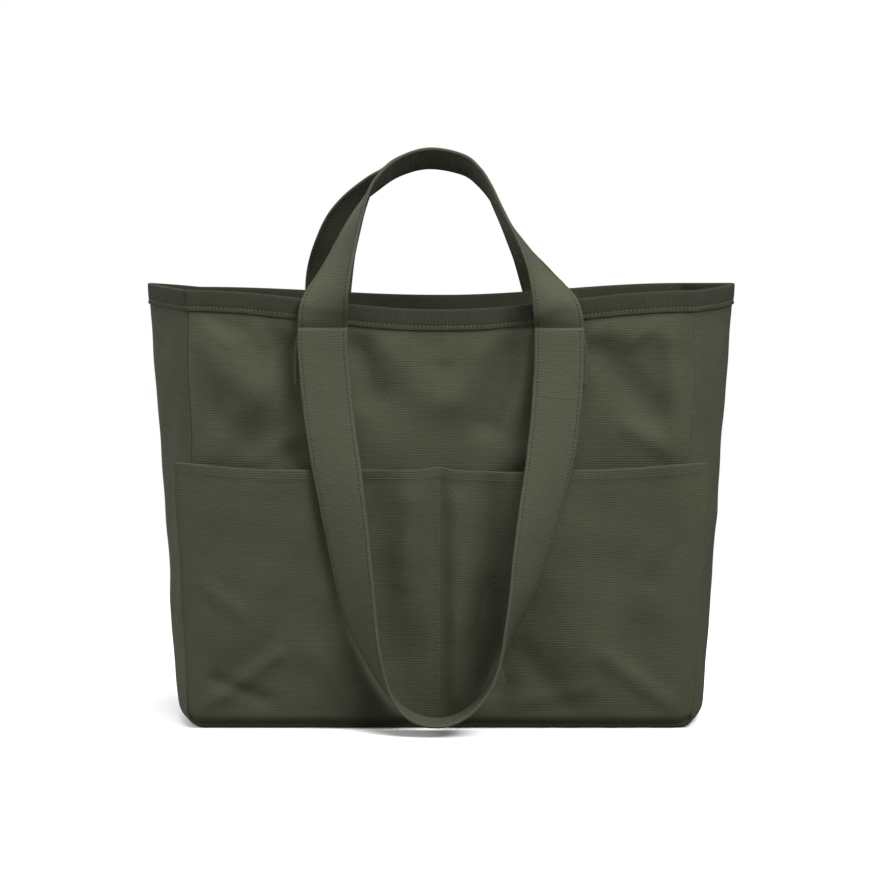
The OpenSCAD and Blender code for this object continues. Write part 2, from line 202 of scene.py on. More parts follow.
def smooth_line(points, steps):
    """A Catmull-Rom line through the points, with this many steps from each to the next."""
    p = np.array(points, float)
    p = np.vstack([p[:1], p, p[-1:]])
    t = (np.arange(steps) / steps)[:, None]
    pieces = []
    for a, b, c, d in zip(p[:-3], p[1:-2], p[2:-1], p[3:]):
        pieces.append(
            0.5 * (2 * b + (c - a) * t + (2 * a - 5 * b + 4 * c - d) * t**2 + (3 * b - a - 3 * c + d) * t**3)
        )
    return np.vstack([*pieces, p[-2:-1]])


def distances(points):
    """How far each point is along its line."""
    return np.concatenate([[0], np.cumsum(np.linalg.norm(np.diff(points[:, :3], axis=0), axis=1))])


def even_line(points, step):
    """The same line with its points evenly spaced. Columns past the third go along with the first three."""
    along = distances(points)
    count = max(2, round(along[-1] / step) + 1)
    wanted = np.linspace(0, along[-1], count)
    return np.stack([np.interp(wanted, along, points[:, k]) for k in range(points.shape[1])], axis=1)


SEAM_STEPS = np.array([0, 0.4, 0.8, 1.2, 1.6, 2, 2.5, 3.2, 4.4, 6]) * MM


def spread(length, step, start=True, end=True):
    """Distances from 0 to length, close together where the cloth rolls into a seam at either end."""
    low = SEAM_STEPS if start else SEAM_STEPS[:1]
    high = length - (SEAM_STEPS if end else SEAM_STEPS[:1])[::-1]
    count = max(2, round((high[0] - low[-1]) / step))
    middle = np.linspace(low[-1], high[0], count + 1)[1:-1]
    return np.concatenate([low, middle, high])


# ---- meshes ----

SHARP_TURN = math.radians(50)


def add_object(name, points, faces, uvs, material):
    """A closed mesh object at the origin, with one UV for each point and its sharp turns marked."""
    mesh = bpy.data.meshes.new(name)
    mesh.from_pydata(points.reshape(-1, 3).tolist(), [], faces)
    mesh.materials.append(material)
    layer = mesh.uv_layers.new(name="UVMap")
    corners = np.empty(len(mesh.loops), np.int32)
    mesh.loops.foreach_get("vertex_index", corners)
    layer.data.foreach_set("uv", uvs.reshape(-1, 2)[corners].astype(np.float32).ravel())
    mesh.shade_smooth()
    mesh.set_sharp_from_angle(angle=SHARP_TURN)
    piece = bpy.data.objects.new(name, mesh)
    bpy.context.scene.collection.objects.link(piece)
    return piece


def grid_faces(rows, cols, start=0, wrap_rows=False, wrap_cols=False, flip=False):
    """Faces of a grid of points, which may join up with itself along either side."""
    i, j = np.meshgrid(np.arange(rows - (not wrap_rows)), np.arange(cols - (not wrap_cols)), indexing="ij")
    ni, nj = (i + 1) % rows, (j + 1) % cols
    quads = np.stack([i * cols + j, i * cols + nj, ni * cols + nj, ni * cols + j], axis=-1)
    quads = quads.reshape(-1, 4) + start
    return (quads[:, ::-1] if flip else quads).tolist()


def outward(grid):
    """Unit normals of a grid whose columns run to the right and rows run up, seen from outside."""
    return unit(np.cross(np.gradient(grid, axis=1), np.gradient(grid, axis=0)))


def cloth_solid(name, grid, thickness, uvs, material):
    """A closed sheet: its outer face is the grid, and its inner face lies a thickness behind it."""
    rows, cols = grid.shape[:2]
    inner = grid - outward(grid) * np.broadcast_to(thickness, (rows, cols))[..., None]
    count = rows * cols
    faces = grid_faces(rows, cols) + grid_faces(rows, cols, start=count, flip=True)
    edge = (
        list(range(cols))
        + [i * cols + cols - 1 for i in range(1, rows)]
        + [(rows - 1) * cols + j for j in range(cols - 2, -1, -1)]
        + [i * cols for i in range(rows - 2, 0, -1)]
    )
    for a, b in zip(edge, edge[1:] + edge[:1]):
        faces.append([b, a, a + count, b + count])
    return add_object(name, np.concatenate([grid.reshape(-1, 3), inner.reshape(-1, 3)]), faces,
                      np.concatenate([uvs.reshape(-1, 2)] * 2), material)


LIP_TURN = math.radians(120)
LIP_REACH = LIP_TURN - 1  # from a seam to the cloth's roll beside it, for a radius of 1


def roll_into_seams(grid, borders, radius):
    """Rolls the cloth's edges into its seams.

    Each border is (distance from it, direction away from it, direction into the bag), and the last is
    None where the cloth's own normal serves.
    """
    normals = outward(grid)
    rolled = grid.copy()
    deepest = np.zeros(grid.shape[:2])
    into = -normals
    for distance, inwards, down in borders:
        turn = np.clip(LIP_TURN - distance / radius, 0, None)
        shift = np.where(turn > 0, radius * (LIP_TURN - np.sin(turn)) - distance, 0)
        rolled += inwards * shift[..., None]
        depth = radius * (1 - np.cos(turn))
        if down is not None:
            into = np.where((depth > deepest)[..., None], down, into)
        deepest = np.maximum(deepest, depth)
    return rolled + into * deepest[..., None]


def folds(x, z, marks):
    """Height of soft folds at x, z.

    Each mark is a line from x0, z0 to x1, z1 with a half width and a height, in mm.
    """
    total = np.zeros(np.broadcast(x, z).shape)
    for x0, z0, x1, z1, width, height in marks:
        dx, dz = x1 - x0, z1 - z0
        t = np.clip(((x / MM - x0) * dx + (z / MM - z0) * dz) / (dx * dx + dz * dz), 0, 1)
        away = (x / MM - x0 - t * dx) ** 2 + (z / MM - z0 - t * dz) ** 2
        total = total + height * MM * np.exp(-away / (width * width))
    return total


RIPPLE_WAVES = ((63, 24, 0.4), (-38, 71, 1.9), (118, -46, 3.1), (31, 139, 5.0), (-152, 87, 2.2))


def ripple(x, z, size):
    """Shallow waves in stiff cloth, of two to ten centimetres."""
    return size * sum(np.sin(a * x + b * z + c) for a, b, c in RIPPLE_WAVES) / len(RIPPLE_WAVES)


# ---- the bag's form ----

FRONT_DIP = 15 * MM
BACK_DIP = 10 * MM
BINDING_H = 15 * MM
RIM_COVER = 1.6 * MM
PANEL_FOOT = 4 * MM
BASE_TURN_UP = 4 * MM  # how far the base comes up in front of the bag
TURN_UP_REACH = 6 * MM
GUSSET_FOOT_TURN = math.radians(58)

FOLD_DEPTH = 2.0
FRONT_FOLDS = (
    (-196, 306, -146, 270, 20, 4.2), (-172, 250, -150, 226, 16, -1.4), (-122, 302, -120, 225, 16, -3.6),
    (-66, 304, -54, 270, 14, -3.2), (-85, 250, -60, 225, 55, 4.5), (-34, 306, -8, 262, 18, 2.2),
    (60, 318, 38, 244, 11, -3.6), (34, 316, 12, 262, 13, 2.0), (124, 318, 190, 322, 13, 1.8),
    (126, 300, 168, 252, 15, -2.6), (182, 306, 190, 236, 9, 1.8), (-168, 250, -186, 216, 12, 1.8),
    (-192, 326, -168, 306, 4.5, 1.0), (-186, 331, -158, 318, 4, -0.8), (-150, 328, -138, 306, 5, 0.8),
    (20, 328, 4, 296, 6, 1.0), (-22, 330, -30, 300, 6, -0.9), (150, 240, 184, 222, 8, 1.2),
    (176, 330, 150, 306, 5, 0.9), (-112, 236, -150, 214, 9, 1.2), (96, 232, 60, 218, 12, 1.4),
)
BACK_FOLDS = (
    (-180, 320, -120, 280, 20, 2.4), (-60, 300, -48, 240, 16, -2.6), (-20, 300, 12, 180, 34, 3.0),
    (64, 306, 44, 220, 16, -3.0), (130, 290, 186, 320, 20, 2.2), (-150, 200, -120, 70, 30, 2.0),
    (140, 210, 100, 60, 34, -2.6), (-60, 140, -10, 60, 26, -2.4), (30, 120, 60, 40, 24, 2.0),
)
GUSSET_FOLDS = (
    (-40, 300, -30, 170, 16, 1.8), (36, 270, 40, 120, 16, -1.6), (-34, 120, -44, 50, 16, -1.6),
    (10, 90, 34, 30, 18, 1.4),
)


def flare(z):
    return mix(BASE_BELLY, RIM_FLARE, z / RIM_Z)


def bow(s, z, hand):
    """Shape of a gusset across its width: round at the base, and more like a fold at the rim."""
    rim_power = 1.12 if hand == LEFT else 1.5
    return 1 - np.abs(s) ** mix(2, rim_power, np.clip(z / RIM_Z, 0, 1))


def sway(x, z):
    """How far a side seam wanders from straight at height z, fading out towards the middle of a panel."""
    inwards = 2.6 * np.exp(-(((z - 0.222) / 0.034) ** 2)) - 1.2 * np.exp(-(((z - 0.04) / 0.03) ** 2))
    wander = 0.5 * np.sin(z * 61 + np.sign(x)) * smoothstep((SEAM_RIM_Z - z) / 0.03)
    near = smoothstep((np.abs(x) / HALF_W - 0.6) / 0.4)
    return -np.sign(x) * (inwards + wander) * MM * near


def puckers(x, below):
    """Short waves in the cloth just under a seam, this far below it."""
    wave = np.sin(x / (3.1 * MM) + 2 * np.sin(x / (17 * MM))) + 0.6 * np.sin(x / (5.3 * MM) + 1)
    return 0.4 * MM * wave * np.exp(-np.clip(below, 0, None) / (13 * MM))


def pinch(x, z):
    """How far the ends of the mouth are drawn together, more so on the left."""
    drawn = np.where(x < 0, 9 * MM, 2 * MM)
    return drawn * smoothstep((np.abs(x) / HALF_W - 0.3) / 0.7) * np.clip(z / RIM_Z, 0, 1) ** 3


def panel_rim_z(x, side):
    dip = FRONT_DIP if side == FRONT else BACK_DIP
    slump = 0 if side == FRONT else 3 * MM * smoothstep(-x / HALF_W)
    return SEAM_RIM_Z - slump - dip * np.cos(0.5 * np.pi * np.clip(np.abs(x) / HALF_W, 0, 1)) ** 2


def gusset_rim_z(s, hand):
    """The rim over a gusset, which joins the heights of the two panels beside it."""
    ends = mix(panel_rim_z(hand * HALF_W, FRONT), panel_rim_z(hand * HALF_W, BACK), 0.5 * (1 + s))
    return mix(RIM_Z, ends, np.abs(s))


def panel_y(x, z, side):
    """The outer face of the front or back panel."""
    loose = smoothstep((HALF_W - np.abs(x)) / (26 * MM)) * smoothstep(z / (40 * MM))
    below = panel_rim_z(x, side) - BINDING_H - z
    gathered = puckers(x, below) * smoothstep((below + 4 * MM) / (4 * MM))
    pulled = 0.7 * MM * np.exp(-((below / (3 * MM)) ** 2)) * smoothstep((HALF_W - np.abs(x)) / 0.01)
    gathered = gathered - pulled
    loose = loose * (0.3 + 0.7 * smoothstep(below / (22 * MM)))
    relief = FOLD_DEPTH * folds(x, z, FRONT_FOLDS if side == FRONT else BACK_FOLDS)
    relief = relief + ripple(x + 0.3 * side, z, 1.3 * MM)
    return -side * (HALF_D - pinch(x, z) + relief * loose + gathered)


def gusset_point(s, z, hand):
    """The outer face of a gusset above its corner, at s across from -1 in front to 1 behind."""
    half = HALF_D - pinch(hand * HALF_W, z)
    loose = smoothstep((1 - np.abs(s)) * 3) * smoothstep(z / (40 * MM))
    relief = folds(s * half * hand, z, GUSSET_FOLDS) + ripple(s * half * hand, z, 0.8 * MM)
    x = HALF_W + flare(z) * bow(s, z, hand) + relief * loose * (1 - smoothstep((z - RIM_Z + 0.04) / 0.04))
    return np.stack([hand * x, s * half, z], axis=-1)


# ---- panels ----


def panel_grid(side, step, radius):
    """The front or back panel's outer face, and its places on the flat cloth."""
    height = SEAM_RIM_Z - RIM_COVER - PANEL_FOOT
    up = spread(height, step, end=False) / height
    across = spread(2 * HALF_W, step) / HALF_W - 1
    u, v = np.meshgrid(across, up)
    z = PANEL_FOOT + v * (panel_rim_z(u * HALF_W, side) - RIM_COVER - PANEL_FOOT)
    radius_z = CORNER_R - PANEL_FOOT
    low = np.clip((CORNER_R - z) / radius_z, 0, 1) * CORNER_R
    x = u * (HALF_W - CORNER_R + np.sqrt(CORNER_R**2 - low**2))
    grid = np.stack([side * x + sway(side * x, z), panel_y(side * x, z, side), z], axis=-1)
    # distance to the sides and lower corners, and the way in from them
    over = np.clip(np.abs(x) - (HALF_W - CORNER_R), 0, None)
    reach = np.hypot(over, low)
    corner = (over > 0) & (low > 0)
    from_side = np.where(corner, CORNER_R - reach, np.minimum(HALF_W - np.abs(x), z - PANEL_FOOT))
    side_nearer = HALF_W - np.abs(x) < z - PANEL_FOOT
    in_x = np.where(corner, -over / np.maximum(reach, 1e-9), np.where(side_nearer, -1.0, 0.0))
    in_z = np.where(corner, low / np.maximum(reach, 1e-9), np.where(side_nearer, 0.0, 1.0))
    inwards = np.stack([in_x * np.sign(x) * side, np.zeros_like(in_x), in_z], axis=-1)
    border = (np.clip(from_side, 0, None), inwards, np.array([0, side, 0.0]))
    return roll_into_seams(grid, [border], radius), np.stack([x, z], axis=-1)


def turn_up(y, turn):
    """How far the base and the gussets' feet rise at their front and back edges."""
    near = np.clip((np.abs(y) - HALF_D + TURN_UP_REACH) / TURN_UP_REACH, 0, 1)
    return BASE_TURN_UP * np.cos(turn) * near**2


def corner_profile(turn):
    """Distance in from the side, and height, at an angle round a lower corner, from the base up."""
    return CORNER_R * (1 - np.sin(turn)), CORNER_R * (1 - np.cos(turn))


def towards_middle(across):
    """Directions from the front and back edges of a gusset or the base to its middle line."""
    return np.stack([np.zeros_like(across), -np.sign(across), np.zeros_like(across)], axis=-1)


def gusset_grid(hand, step, radius):
    """A gusset's outer face, from round the lower corner to the rim, and its places on the flat cloth."""
    first_turn = GUSSET_FOOT_TURN - LIP_REACH * radius / CORNER_R
    foot = CORNER_R * (0.5 * np.pi - first_turn)
    length = foot + RIM_Z - RIM_COVER - CORNER_R
    q = spread(length, step, end=False)
    s = (spread(2 * HALF_D, step) / HALF_D - 1) * hand
    ss, qq = np.meshgrid(s, q)
    turn = np.clip(first_turn + qq / CORNER_R, None, 0.5 * np.pi)
    turned_in, corner_z = corner_profile(turn)
    share = np.clip((qq - foot) / (length - foot), 0, 1)
    corner_z = corner_z + turn_up(ss * HALF_D, turn)
    z = np.where(qq < foot, corner_z, mix(CORNER_R, gusset_rim_z(ss, hand) - RIM_COVER, share))
    grid = gusset_point(ss, z, hand)
    grid[..., 0] += sway(hand * HALF_W, z) * np.abs(ss) ** 2 - hand * turned_in
    upwards = unit(np.gradient(grid, axis=0))
    middle = np.stack([-hand * np.sin(turn), np.zeros_like(ss), np.cos(turn)], axis=-1)
    borders = [((1 - np.abs(ss)) * HALF_D, towards_middle(ss), middle), (qq, upwards, None)]
    return roll_into_seams(grid, borders, radius), np.stack([ss * HALF_D, qq], axis=-1)


def base_grid(step, radius):
    """The base panel's underside, which turns up round the lower corners to meet the gussets."""
    side_run = CORNER_R * GUSSET_FOOT_TURN + LIP_REACH * radius
    flat = 2 * (HALF_W - CORNER_R)
    q = spread(flat + 2 * side_run, step)
    s = 1 - spread(2 * HALF_D, step) / HALF_D
    qq, ss = np.meshgrid(q, s)
    from_middle = qq - 0.5 * flat - side_run
    hand = np.sign(from_middle)
    past = np.clip(np.abs(from_middle) - 0.5 * flat, 0, None)
    turn = past / CORNER_R
    turned_in, z = corner_profile(turn)
    belly = BASE_BELLY * (1 - ss**2) * np.clip(np.abs(from_middle) / (0.5 * flat), 0, 1) ** 2
    x = np.where(past > 0, HALF_W - turned_in, np.abs(from_middle)) + belly
    z = z + turn_up(ss * HALF_D, turn)
    grid = np.stack([hand * x, ss * HALF_D, z], axis=-1)
    lengthways = unit(np.gradient(grid, axis=1)) * (-hand)[..., None]
    middle = np.stack([-hand * np.sin(turn), np.zeros_like(ss), np.cos(turn)], axis=-1)
    ends = 0.5 * flat + side_run - np.abs(from_middle)
    borders = [((1 - np.abs(ss)) * HALF_D, towards_middle(ss), middle), (ends, lengthways, None)]
    return roll_into_seams(grid, borders, radius), np.stack([from_middle, ss * HALF_D], axis=-1)


class BAG_OT_panels(bpy.types.Operator):
    """Make the front, back, side and base panels"""

    bl_idname = "bag.panels"
    bl_label = "Panels"

    def execute(self, context):
        cloth = context.scene.bag_cloth
        canvas = cloth_material("canvas", cloth.colour, cloth.rib)
        height = SEAM_RIM_Z - PANEL_FOOT
        plans = {}
        for side, name in SIDES:
            plans[name + "_panel"] = (panel_grid(side, cloth.step, cloth.lip), (2 * HALF_W, height))
        for hand, name in HANDS:
            plans[name + "_gusset"] = (gusset_grid(hand, cloth.step, cloth.lip), (2 * HALF_D, height))
        plans["base_panel"] = (base_grid(cloth.step, cloth.lip), (2 * HALF_W, 2 * HALF_D))
        for node, ((grid, uvs), flat) in plans.items():
            piece = cloth_solid(node + "_cloth", grid, cloth.thickness, uvs, canvas)
            hand_over(piece, "bag", "canvas", node)
        return {"FINISHED"}


def hand_over(piece, body, slot, *nodes):
    """Rides a finished piece on its body, in place of the frame's nodes."""
    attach(piece, body)
    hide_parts(*nodes)


def hand_over_bending(piece, node, blend, side, name):
    """Hides the frame's node and bakes the finished piece's transform in its place."""
    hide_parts(node)
    blend(piece, side, name)


# ---- inner seam tapes ----

TAPE_W = 9 * MM
TAPE_T = 2.2 * MM


class BAG_OT_seam_tapes(bpy.types.Operator):
    """Make the tapes that cover the raw edges of the seams inside the bag"""

    bl_idname = "bag.seam_tapes"
    bl_label = "Seam tapes"

    def execute(self, context):
        cloth = context.scene.bag_cloth
        binding = cloth_material("binding", cloth.binding_colour, cloth.rib)
        for side, name in SIDES:
            path = seam_tape_path(side)
            middle = path + np.array([0, side * (cloth.thickness - 0.3 * MM + 0.5 * TAPE_W), 0])
            away = seam_tape_away(path)
            ring = []
            for turn in np.linspace(0, 2 * np.pi, 16, endpoint=False):
                wide = 0.5 * TAPE_W * np.sign(np.cos(turn)) * abs(np.cos(turn)) ** 0.35
                thick = 0.5 * TAPE_T * np.sin(turn)
                ring.append(middle + np.array([0, wide * side, 0]) + away * (0.5 * TAPE_T + 1.1 * MM + thick))
            rings = np.stack(ring, axis=1)
            if side == BACK:
                rings = rings[:, ::-1]
            piece = tube_object(name + "_seam_tape", rings, binding)
            hand_over(piece, "bag", "binding", name + "_seam_binding")
        return {"FINISHED"}


def seam_tape_path(side):
    """Along a panel's edge: down the left side, along the base and up the right side."""
    inset = 1.6 * MM
    side_x = HALF_W - inset
    top = SEAM_RIM_Z - BINDING_H
    arc = [corner_profile(a) for a in np.linspace(0.5 * np.pi, 0, 9)]
    left = [(-side_x, top)] + [(-side_x + inwards, inset + z) for inwards, z in arc]
    line = np.array([(x, 0, z) for x, z in left] + [(-x, 0, z) for x, z in left[::-1]])
    line = even_line(line, 4 * MM)
    line[:, 1] = -side * (HALF_D - pinch(line[:, 0], line[:, 2]))
    line[:, 0] += sway(line[:, 0], line[:, 2])
    return line


def seam_tape_away(path):
    """Directions from the panel's edge towards the middle of the bag."""
    along = unit(np.gradient(path, axis=0))
    return unit(np.cross(along, np.array([0, 1.0, 0])))


def tube_object(name, rings, material):
    """A closed tube through the rings, capped at both ends. Its UVs run across, then along it."""
    count, around = rings.shape[:2]
    faces = grid_faces(count, around, wrap_cols=True)
    faces.append(list(range(around))[::-1])
    faces.append([(count - 1) * around + k for k in range(around)])
    along = distances(rings.mean(axis=1))
    across = distances(np.vstack([rings[0], rings[0][:1]]))[:-1]
    uvs = np.stack(np.meshgrid(across, along), axis=-1)
    return add_object(name, rings, faces, uvs, material)


# ---- the rim ----

BINDING_OUT = 2.0 * MM  # from the middle of the canvas to the binding's face
BINDING_IN = 0.75 * MM
STITCH_DROP = 12 * MM
RIM_STEP = 2 * MM


def mouth_points(drop, step):
    """The canvas's outer face all round the mouth, this far below the rim, anticlockwise from above."""
    xs = np.linspace(-HALF_W, HALF_W, round(2 * HALF_W / step) + 1)[:-1]
    ss = np.linspace(-1, 1, round(2 * HALF_D / step) + 1)[:-1]
    runs = []
    for side, hand in ((FRONT, RIGHT), (BACK, LEFT)):
        x = xs * side
        z = panel_rim_z(x, side) - drop
        runs.append(np.stack([x, panel_y(x, z, side), z], axis=-1))
        s = ss * side
        runs.append(gusset_point(s, gusset_rim_z(s, hand) - drop, hand))
    return np.vstack(runs)


def soften(points, reach):
    """Rounds the corners of a closed line."""
    kernel = np.hanning(2 * reach + 3)[1:-1]
    kernel = kernel / kernel.sum()
    wrapped = np.vstack([points[-reach:], points, points[:reach]])
    return np.stack([np.convolve(wrapped[:, k], kernel, "valid") for k in range(3)], axis=1)


def mouth_lines(step):
    """The canvas's middle at the rim, the same at the binding's lower edge, and the way out from them."""
    reach = round(6 * MM / step)
    top = soften(mouth_points(0, step), reach)
    foot = soften(mouth_points(BINDING_H, step), reach)
    along = np.roll(top, -1, axis=0) - np.roll(top, 1, axis=0)
    out = unit(np.stack([along[:, 1], -along[:, 0], np.zeros(len(top))], axis=1))
    inset = 0.6 * MM
    return top - out * inset, foot - out * inset, out


class BAG_OT_rim(bpy.types.Operator):
    """Make the binding that folds over the rim"""

    bl_idname = "bag.rim"
    bl_label = "Rim binding"

    def execute(self, context):
        cloth = context.scene.bag_cloth
        binding = cloth_material("binding", cloth.binding_colour, cloth.rib)
        top, foot, out = mouth_lines(RIM_STEP)
        length = distances(top)
        wander = ripple(length, 0.02 * length, 0.5 * MM)
        # the fold's section: [distance out, share of the way down], down the outside from the top
        outside = [(0.75, -0.085), (0.97, -0.03), (1.0, 0.08), (1.03, 0.35), (1.0, 0.6), (0.93, 0.74),
                   (0.78, 0.8), (0.98, 0.86), (1.22, 0.94), (1.16, 1.0)]
        section = [(0, -0.105)] + outside
        section += [(BINDING_IN / BINDING_OUT, 0.985), (BINDING_IN / BINDING_OUT, 0.1)]
        section += [(-BINDING_IN / BINDING_OUT, 0.1), (-BINDING_IN / BINDING_OUT, 0.985)]
        section += [(-d, h) for d, h in outside[::-1]]
        rings = []
        for d, h in section:
            lower = np.clip(h, 0, None) ** 2
            place = mix(top, foot, h) + out * (d * BINDING_OUT + np.sign(d) * 0.4 * wander * lower)[:, None]
            place[:, 2] += wander * lower
            rings.append(place)
        rings = np.stack(rings, axis=1)
        across = distances(np.vstack([rings[0], rings[0][:1]]))[:-1]
        uvs = np.stack(np.meshgrid(across, length), axis=-1)
        faces = grid_faces(*rings.shape[:2], wrap_rows=True, wrap_cols=True, flip=True)
        piece = add_object("rim_binding_tape", rings, faces, uvs, binding)
        hand_over(piece, "bag", "binding", "rim_binding")
        return {"FINISHED"}


# ---- the front pocket ----

POCKET_TOP = 209 * MM
POCKET_FOOT = 4.3 * MM
POCKET_ROOM = 11 * MM
POCKET_OVERHANG = 13 * MM
POCKET_STEP = 2.5 * MM
POCKET_ROLL = 1.3 * MM
HEM_H = 9.5 * MM
DIVIDER_X = -2 * MM
DIVIDER_ROWS = slice(12, -4)  # the pocket's mesh lines that the divider's stitches cross
# half of the pocket from above, from the divider to the side seam:
# [share of the half width, share of the overhang, share of the room]
POCKET_HALF = (
    (0, 0, 0.05), (0.02, 0, 0.12), (0.06, 0, 0.38), (0.18, 0, 0.8), (0.4, 0, 1), (0.65, 0, 1),
    (0.88, 0, 0.95), (0.98, 0.6, 0.78), (1, 1, 0.42), (1, 0.72, 0.1), (1, 0, 0),
)
POCKET_FOLDS = (
    (34, 205, 42, 40, 16, -4.4), (12, 180, 12, 20, 9, 1.2), (84, 190, 112, 60, 30, 2.4),
    (166, 190, 150, 60, 18, -1.8), (-150, 190, -168, 70, 20, 2.0), (-56, 195, -38, 60, 18, -2.2),
    (-190, 14, -130, 60, 7, 1.5), (-178, 40, -140, 24, 6, -1.4), (182, 18, 132, 58, 8, 1.4),
    (-100, 60, -60, 22, 12, 1.2), (66, 60, 96, 22, 12, -1.2), (-196, 120, -160, 96, 8, 1.0),
    (-24, 182, -30, 120, 10, 1.2), (190, 150, 168, 118, 8, -1.0), (120, 34, 60, 20, 8, 1.0),
)


def pocket_top_z(x):
    t = np.clip(np.abs(x) / HALF_W, 0, 1)
    peak = 2.2 * MM * np.exp(-(((x - DIVIDER_X) / (9 * MM)) ** 2))
    sag = 1.8 * MM * np.exp(-(((x - 42 * MM) / (30 * MM)) ** 2))
    return POCKET_TOP + 5.5 * MM * t**4 + peak - sag


def pocket_grid(step, radius):
    """The pocket's outer face, its places on the flat cloth, and how far each point is below its top."""
    half = even_line(smooth_line(POCKET_HALF, 12) * np.array([HALF_W, POCKET_OVERHANG, POCKET_ROOM]), step)
    half = half / np.array([HALF_W, POCKET_OVERHANG, POCKET_ROOM])
    shares = np.vstack([half[:0:-1] * np.array([-1, 1, 1]), half])
    hand = np.sign(shares[:, 0])
    up = spread(POCKET_TOP - POCKET_FOOT, step)
    v = (up / up[-1])[:, None]
    room = mix(1.5 * MM, POCKET_ROOM, v**0.8)
    x = (HALF_W - SEAM_IN) * shares[:, 0] + hand * POCKET_OVERHANG * v * np.abs(shares[:, 1])
    x = x + DIVIDER_X * (1 - np.abs(shares[:, 0]))
    corner = np.clip(np.abs(x) - HALF_W + CORNER_R, 0, CORNER_R)
    low = POCKET_FOOT + (CORNER_R - PANEL_FOOT) * (1 - np.sqrt(1 - (corner / CORNER_R) ** 2))
    z = mix(low, pocket_top_z(x), v)
    loose = smoothstep((HALF_W - np.abs(x)) / (24 * MM)) * smoothstep(np.abs(x - DIVIDER_X) / (14 * MM))
    loose = loose * smoothstep(z / (30 * MM))
    relief = (FOLD_DEPTH * folds(x, z, POCKET_FOLDS) + ripple(x + 0.7, z, 1.4 * MM)) * loose
    hem = 0.5 * MM * smoothstep((z - pocket_top_z(x) + HEM_H + 1 * MM) / (1.2 * MM))
    tuck_foot = 0.9 * smoothstep((6 * MM - up) / (6 * MM))[:, None]
    tuck_side = smoothstep((0.12 - shares[:, 2]) / 0.12) * (np.abs(shares[:, 0]) > 0.5)
    tuck = np.maximum(tuck_foot, tuck_side)
    y = -(HALF_D + mix(2.2 * MM, -0.6 * MM, tuck) + room * shares[:, 2] * (1 - tuck_foot) + relief + hem)
    grid = np.stack([x + sway(x, z), y, z], axis=-1)
    along = distances(np.stack([x[-1], y[-1], z[-1]], axis=-1))
    flat_x, flat_z = np.meshgrid(along - along[-1] / 2, up)
    down = np.broadcast_to(np.array([0, 0, -1.0]), grid.shape)
    foot = np.broadcast_to(up[:, None], z.shape)
    borders = [(foot, -down, None), (up[-1] - foot, down, None)]
    return roll_into_seams(grid, borders, radius), np.stack([flat_x, flat_z], axis=-1), up[-1] - foot


class BAG_OT_pocket(bpy.types.Operator):
    """Make the wide front pocket with its hem"""

    bl_idname = "bag.pocket"
    bl_label = "Front pocket"

    def execute(self, context):
        cloth = context.scene.bag_cloth
        canvas = cloth_material("canvas", cloth.colour, cloth.rib)
        grid, uvs, below_top = pocket_grid(POCKET_STEP, POCKET_ROLL)
        thickness = mix(cloth.thickness, 2 * cloth.thickness, smoothstep((HEM_H - below_top) / (1 * MM)))
        piece = cloth_solid("front_pocket_cloth", grid, thickness, uvs, canvas)
        hand_over(piece, "bag", "canvas", "front_pocket")
        return {"FINISHED"}


# ---- straps ----

# [x as a share of the anchor's, share of the way in over the mouth, share of the rise, twist, lean]
FRONT_HANDLE_LINE = (
    (-1, 0, -0.019, 0, 0), (-1, 0, 0.03, 0, 0), (-0.997, -0.035, 0.075, 4, 0), (-0.986, -0.08, 0.13, 13, 4),
    (-0.957, -0.05, 0.214, 30, 14), (-0.9, 0.11, 0.328, 44, 24), (-0.833, 0.32, 0.458, 55, 24),
    (-0.75, 0.53, 0.618, 66, 24), (-0.656, 0.7, 0.76, 76, 24), (-0.55, 0.8, 0.85, 84, 24),
    (-0.36, 0.92, 0.95, 88, 24), (-0.1, 1, 1, 90, 24), (0.19, 0.95, 0.963, 90, 24),
    (0.335, 0.85, 0.885, 89, 24), (0.437, 0.75, 0.787, 86, 24), (0.52, 0.64, 0.688, 82, 24),
    (0.62, 0.5, 0.578, 76, 24),
    (0.72, 0.36, 0.47, 70, 24), (0.823, 0.16, 0.345, 61, 18), (0.91, -0.03, 0.225, 42, 10),
    (0.963, -0.09, 0.135, 19, 4), (0.99, -0.035, 0.075, 5, 0), (1, 0, 0.03, 0, 0), (1, 0, -0.019, 0, 0),
)
BACK_HANDLE_LINE = (
    (-1, 0, -0.019, 0, 0), (-1, 0, 0.05, 0, 0), (-1.01, 0, 0.1, 0, 0), (-1.01, 0, 0.19, 2, 10),
    (-0.985, 0.13, 0.33, 10, 24), (-0.935, 0.32, 0.47, 22, 24), (-0.835, 0.53, 0.66, 38, 24),
    (-0.68, 0.74, 0.825, 58, 24), (-0.46, 0.92, 0.955, 74, 24), (-0.13, 1, 1, 88, 24),
    (0.15, 0.96, 0.97, 87, 24), (0.33, 0.85, 0.88, 82, 24), (0.43, 0.74, 0.785, 80, 24),
    (0.51, 0.62, 0.68, 74, 24), (0.6, 0.48, 0.57, 68, 24), (0.69, 0.34, 0.46, 60, 24),
    (0.79, 0.16, 0.345, 50, 18), (0.885, -0.03, 0.221, 34, 10),
    (0.95, -0.1, 0.135, 14, 4), (0.985, -0.05, 0.085, 4, 0), (1, 0, 0.05, 0, 0), (1, 0, -0.019, 0, 0),
)
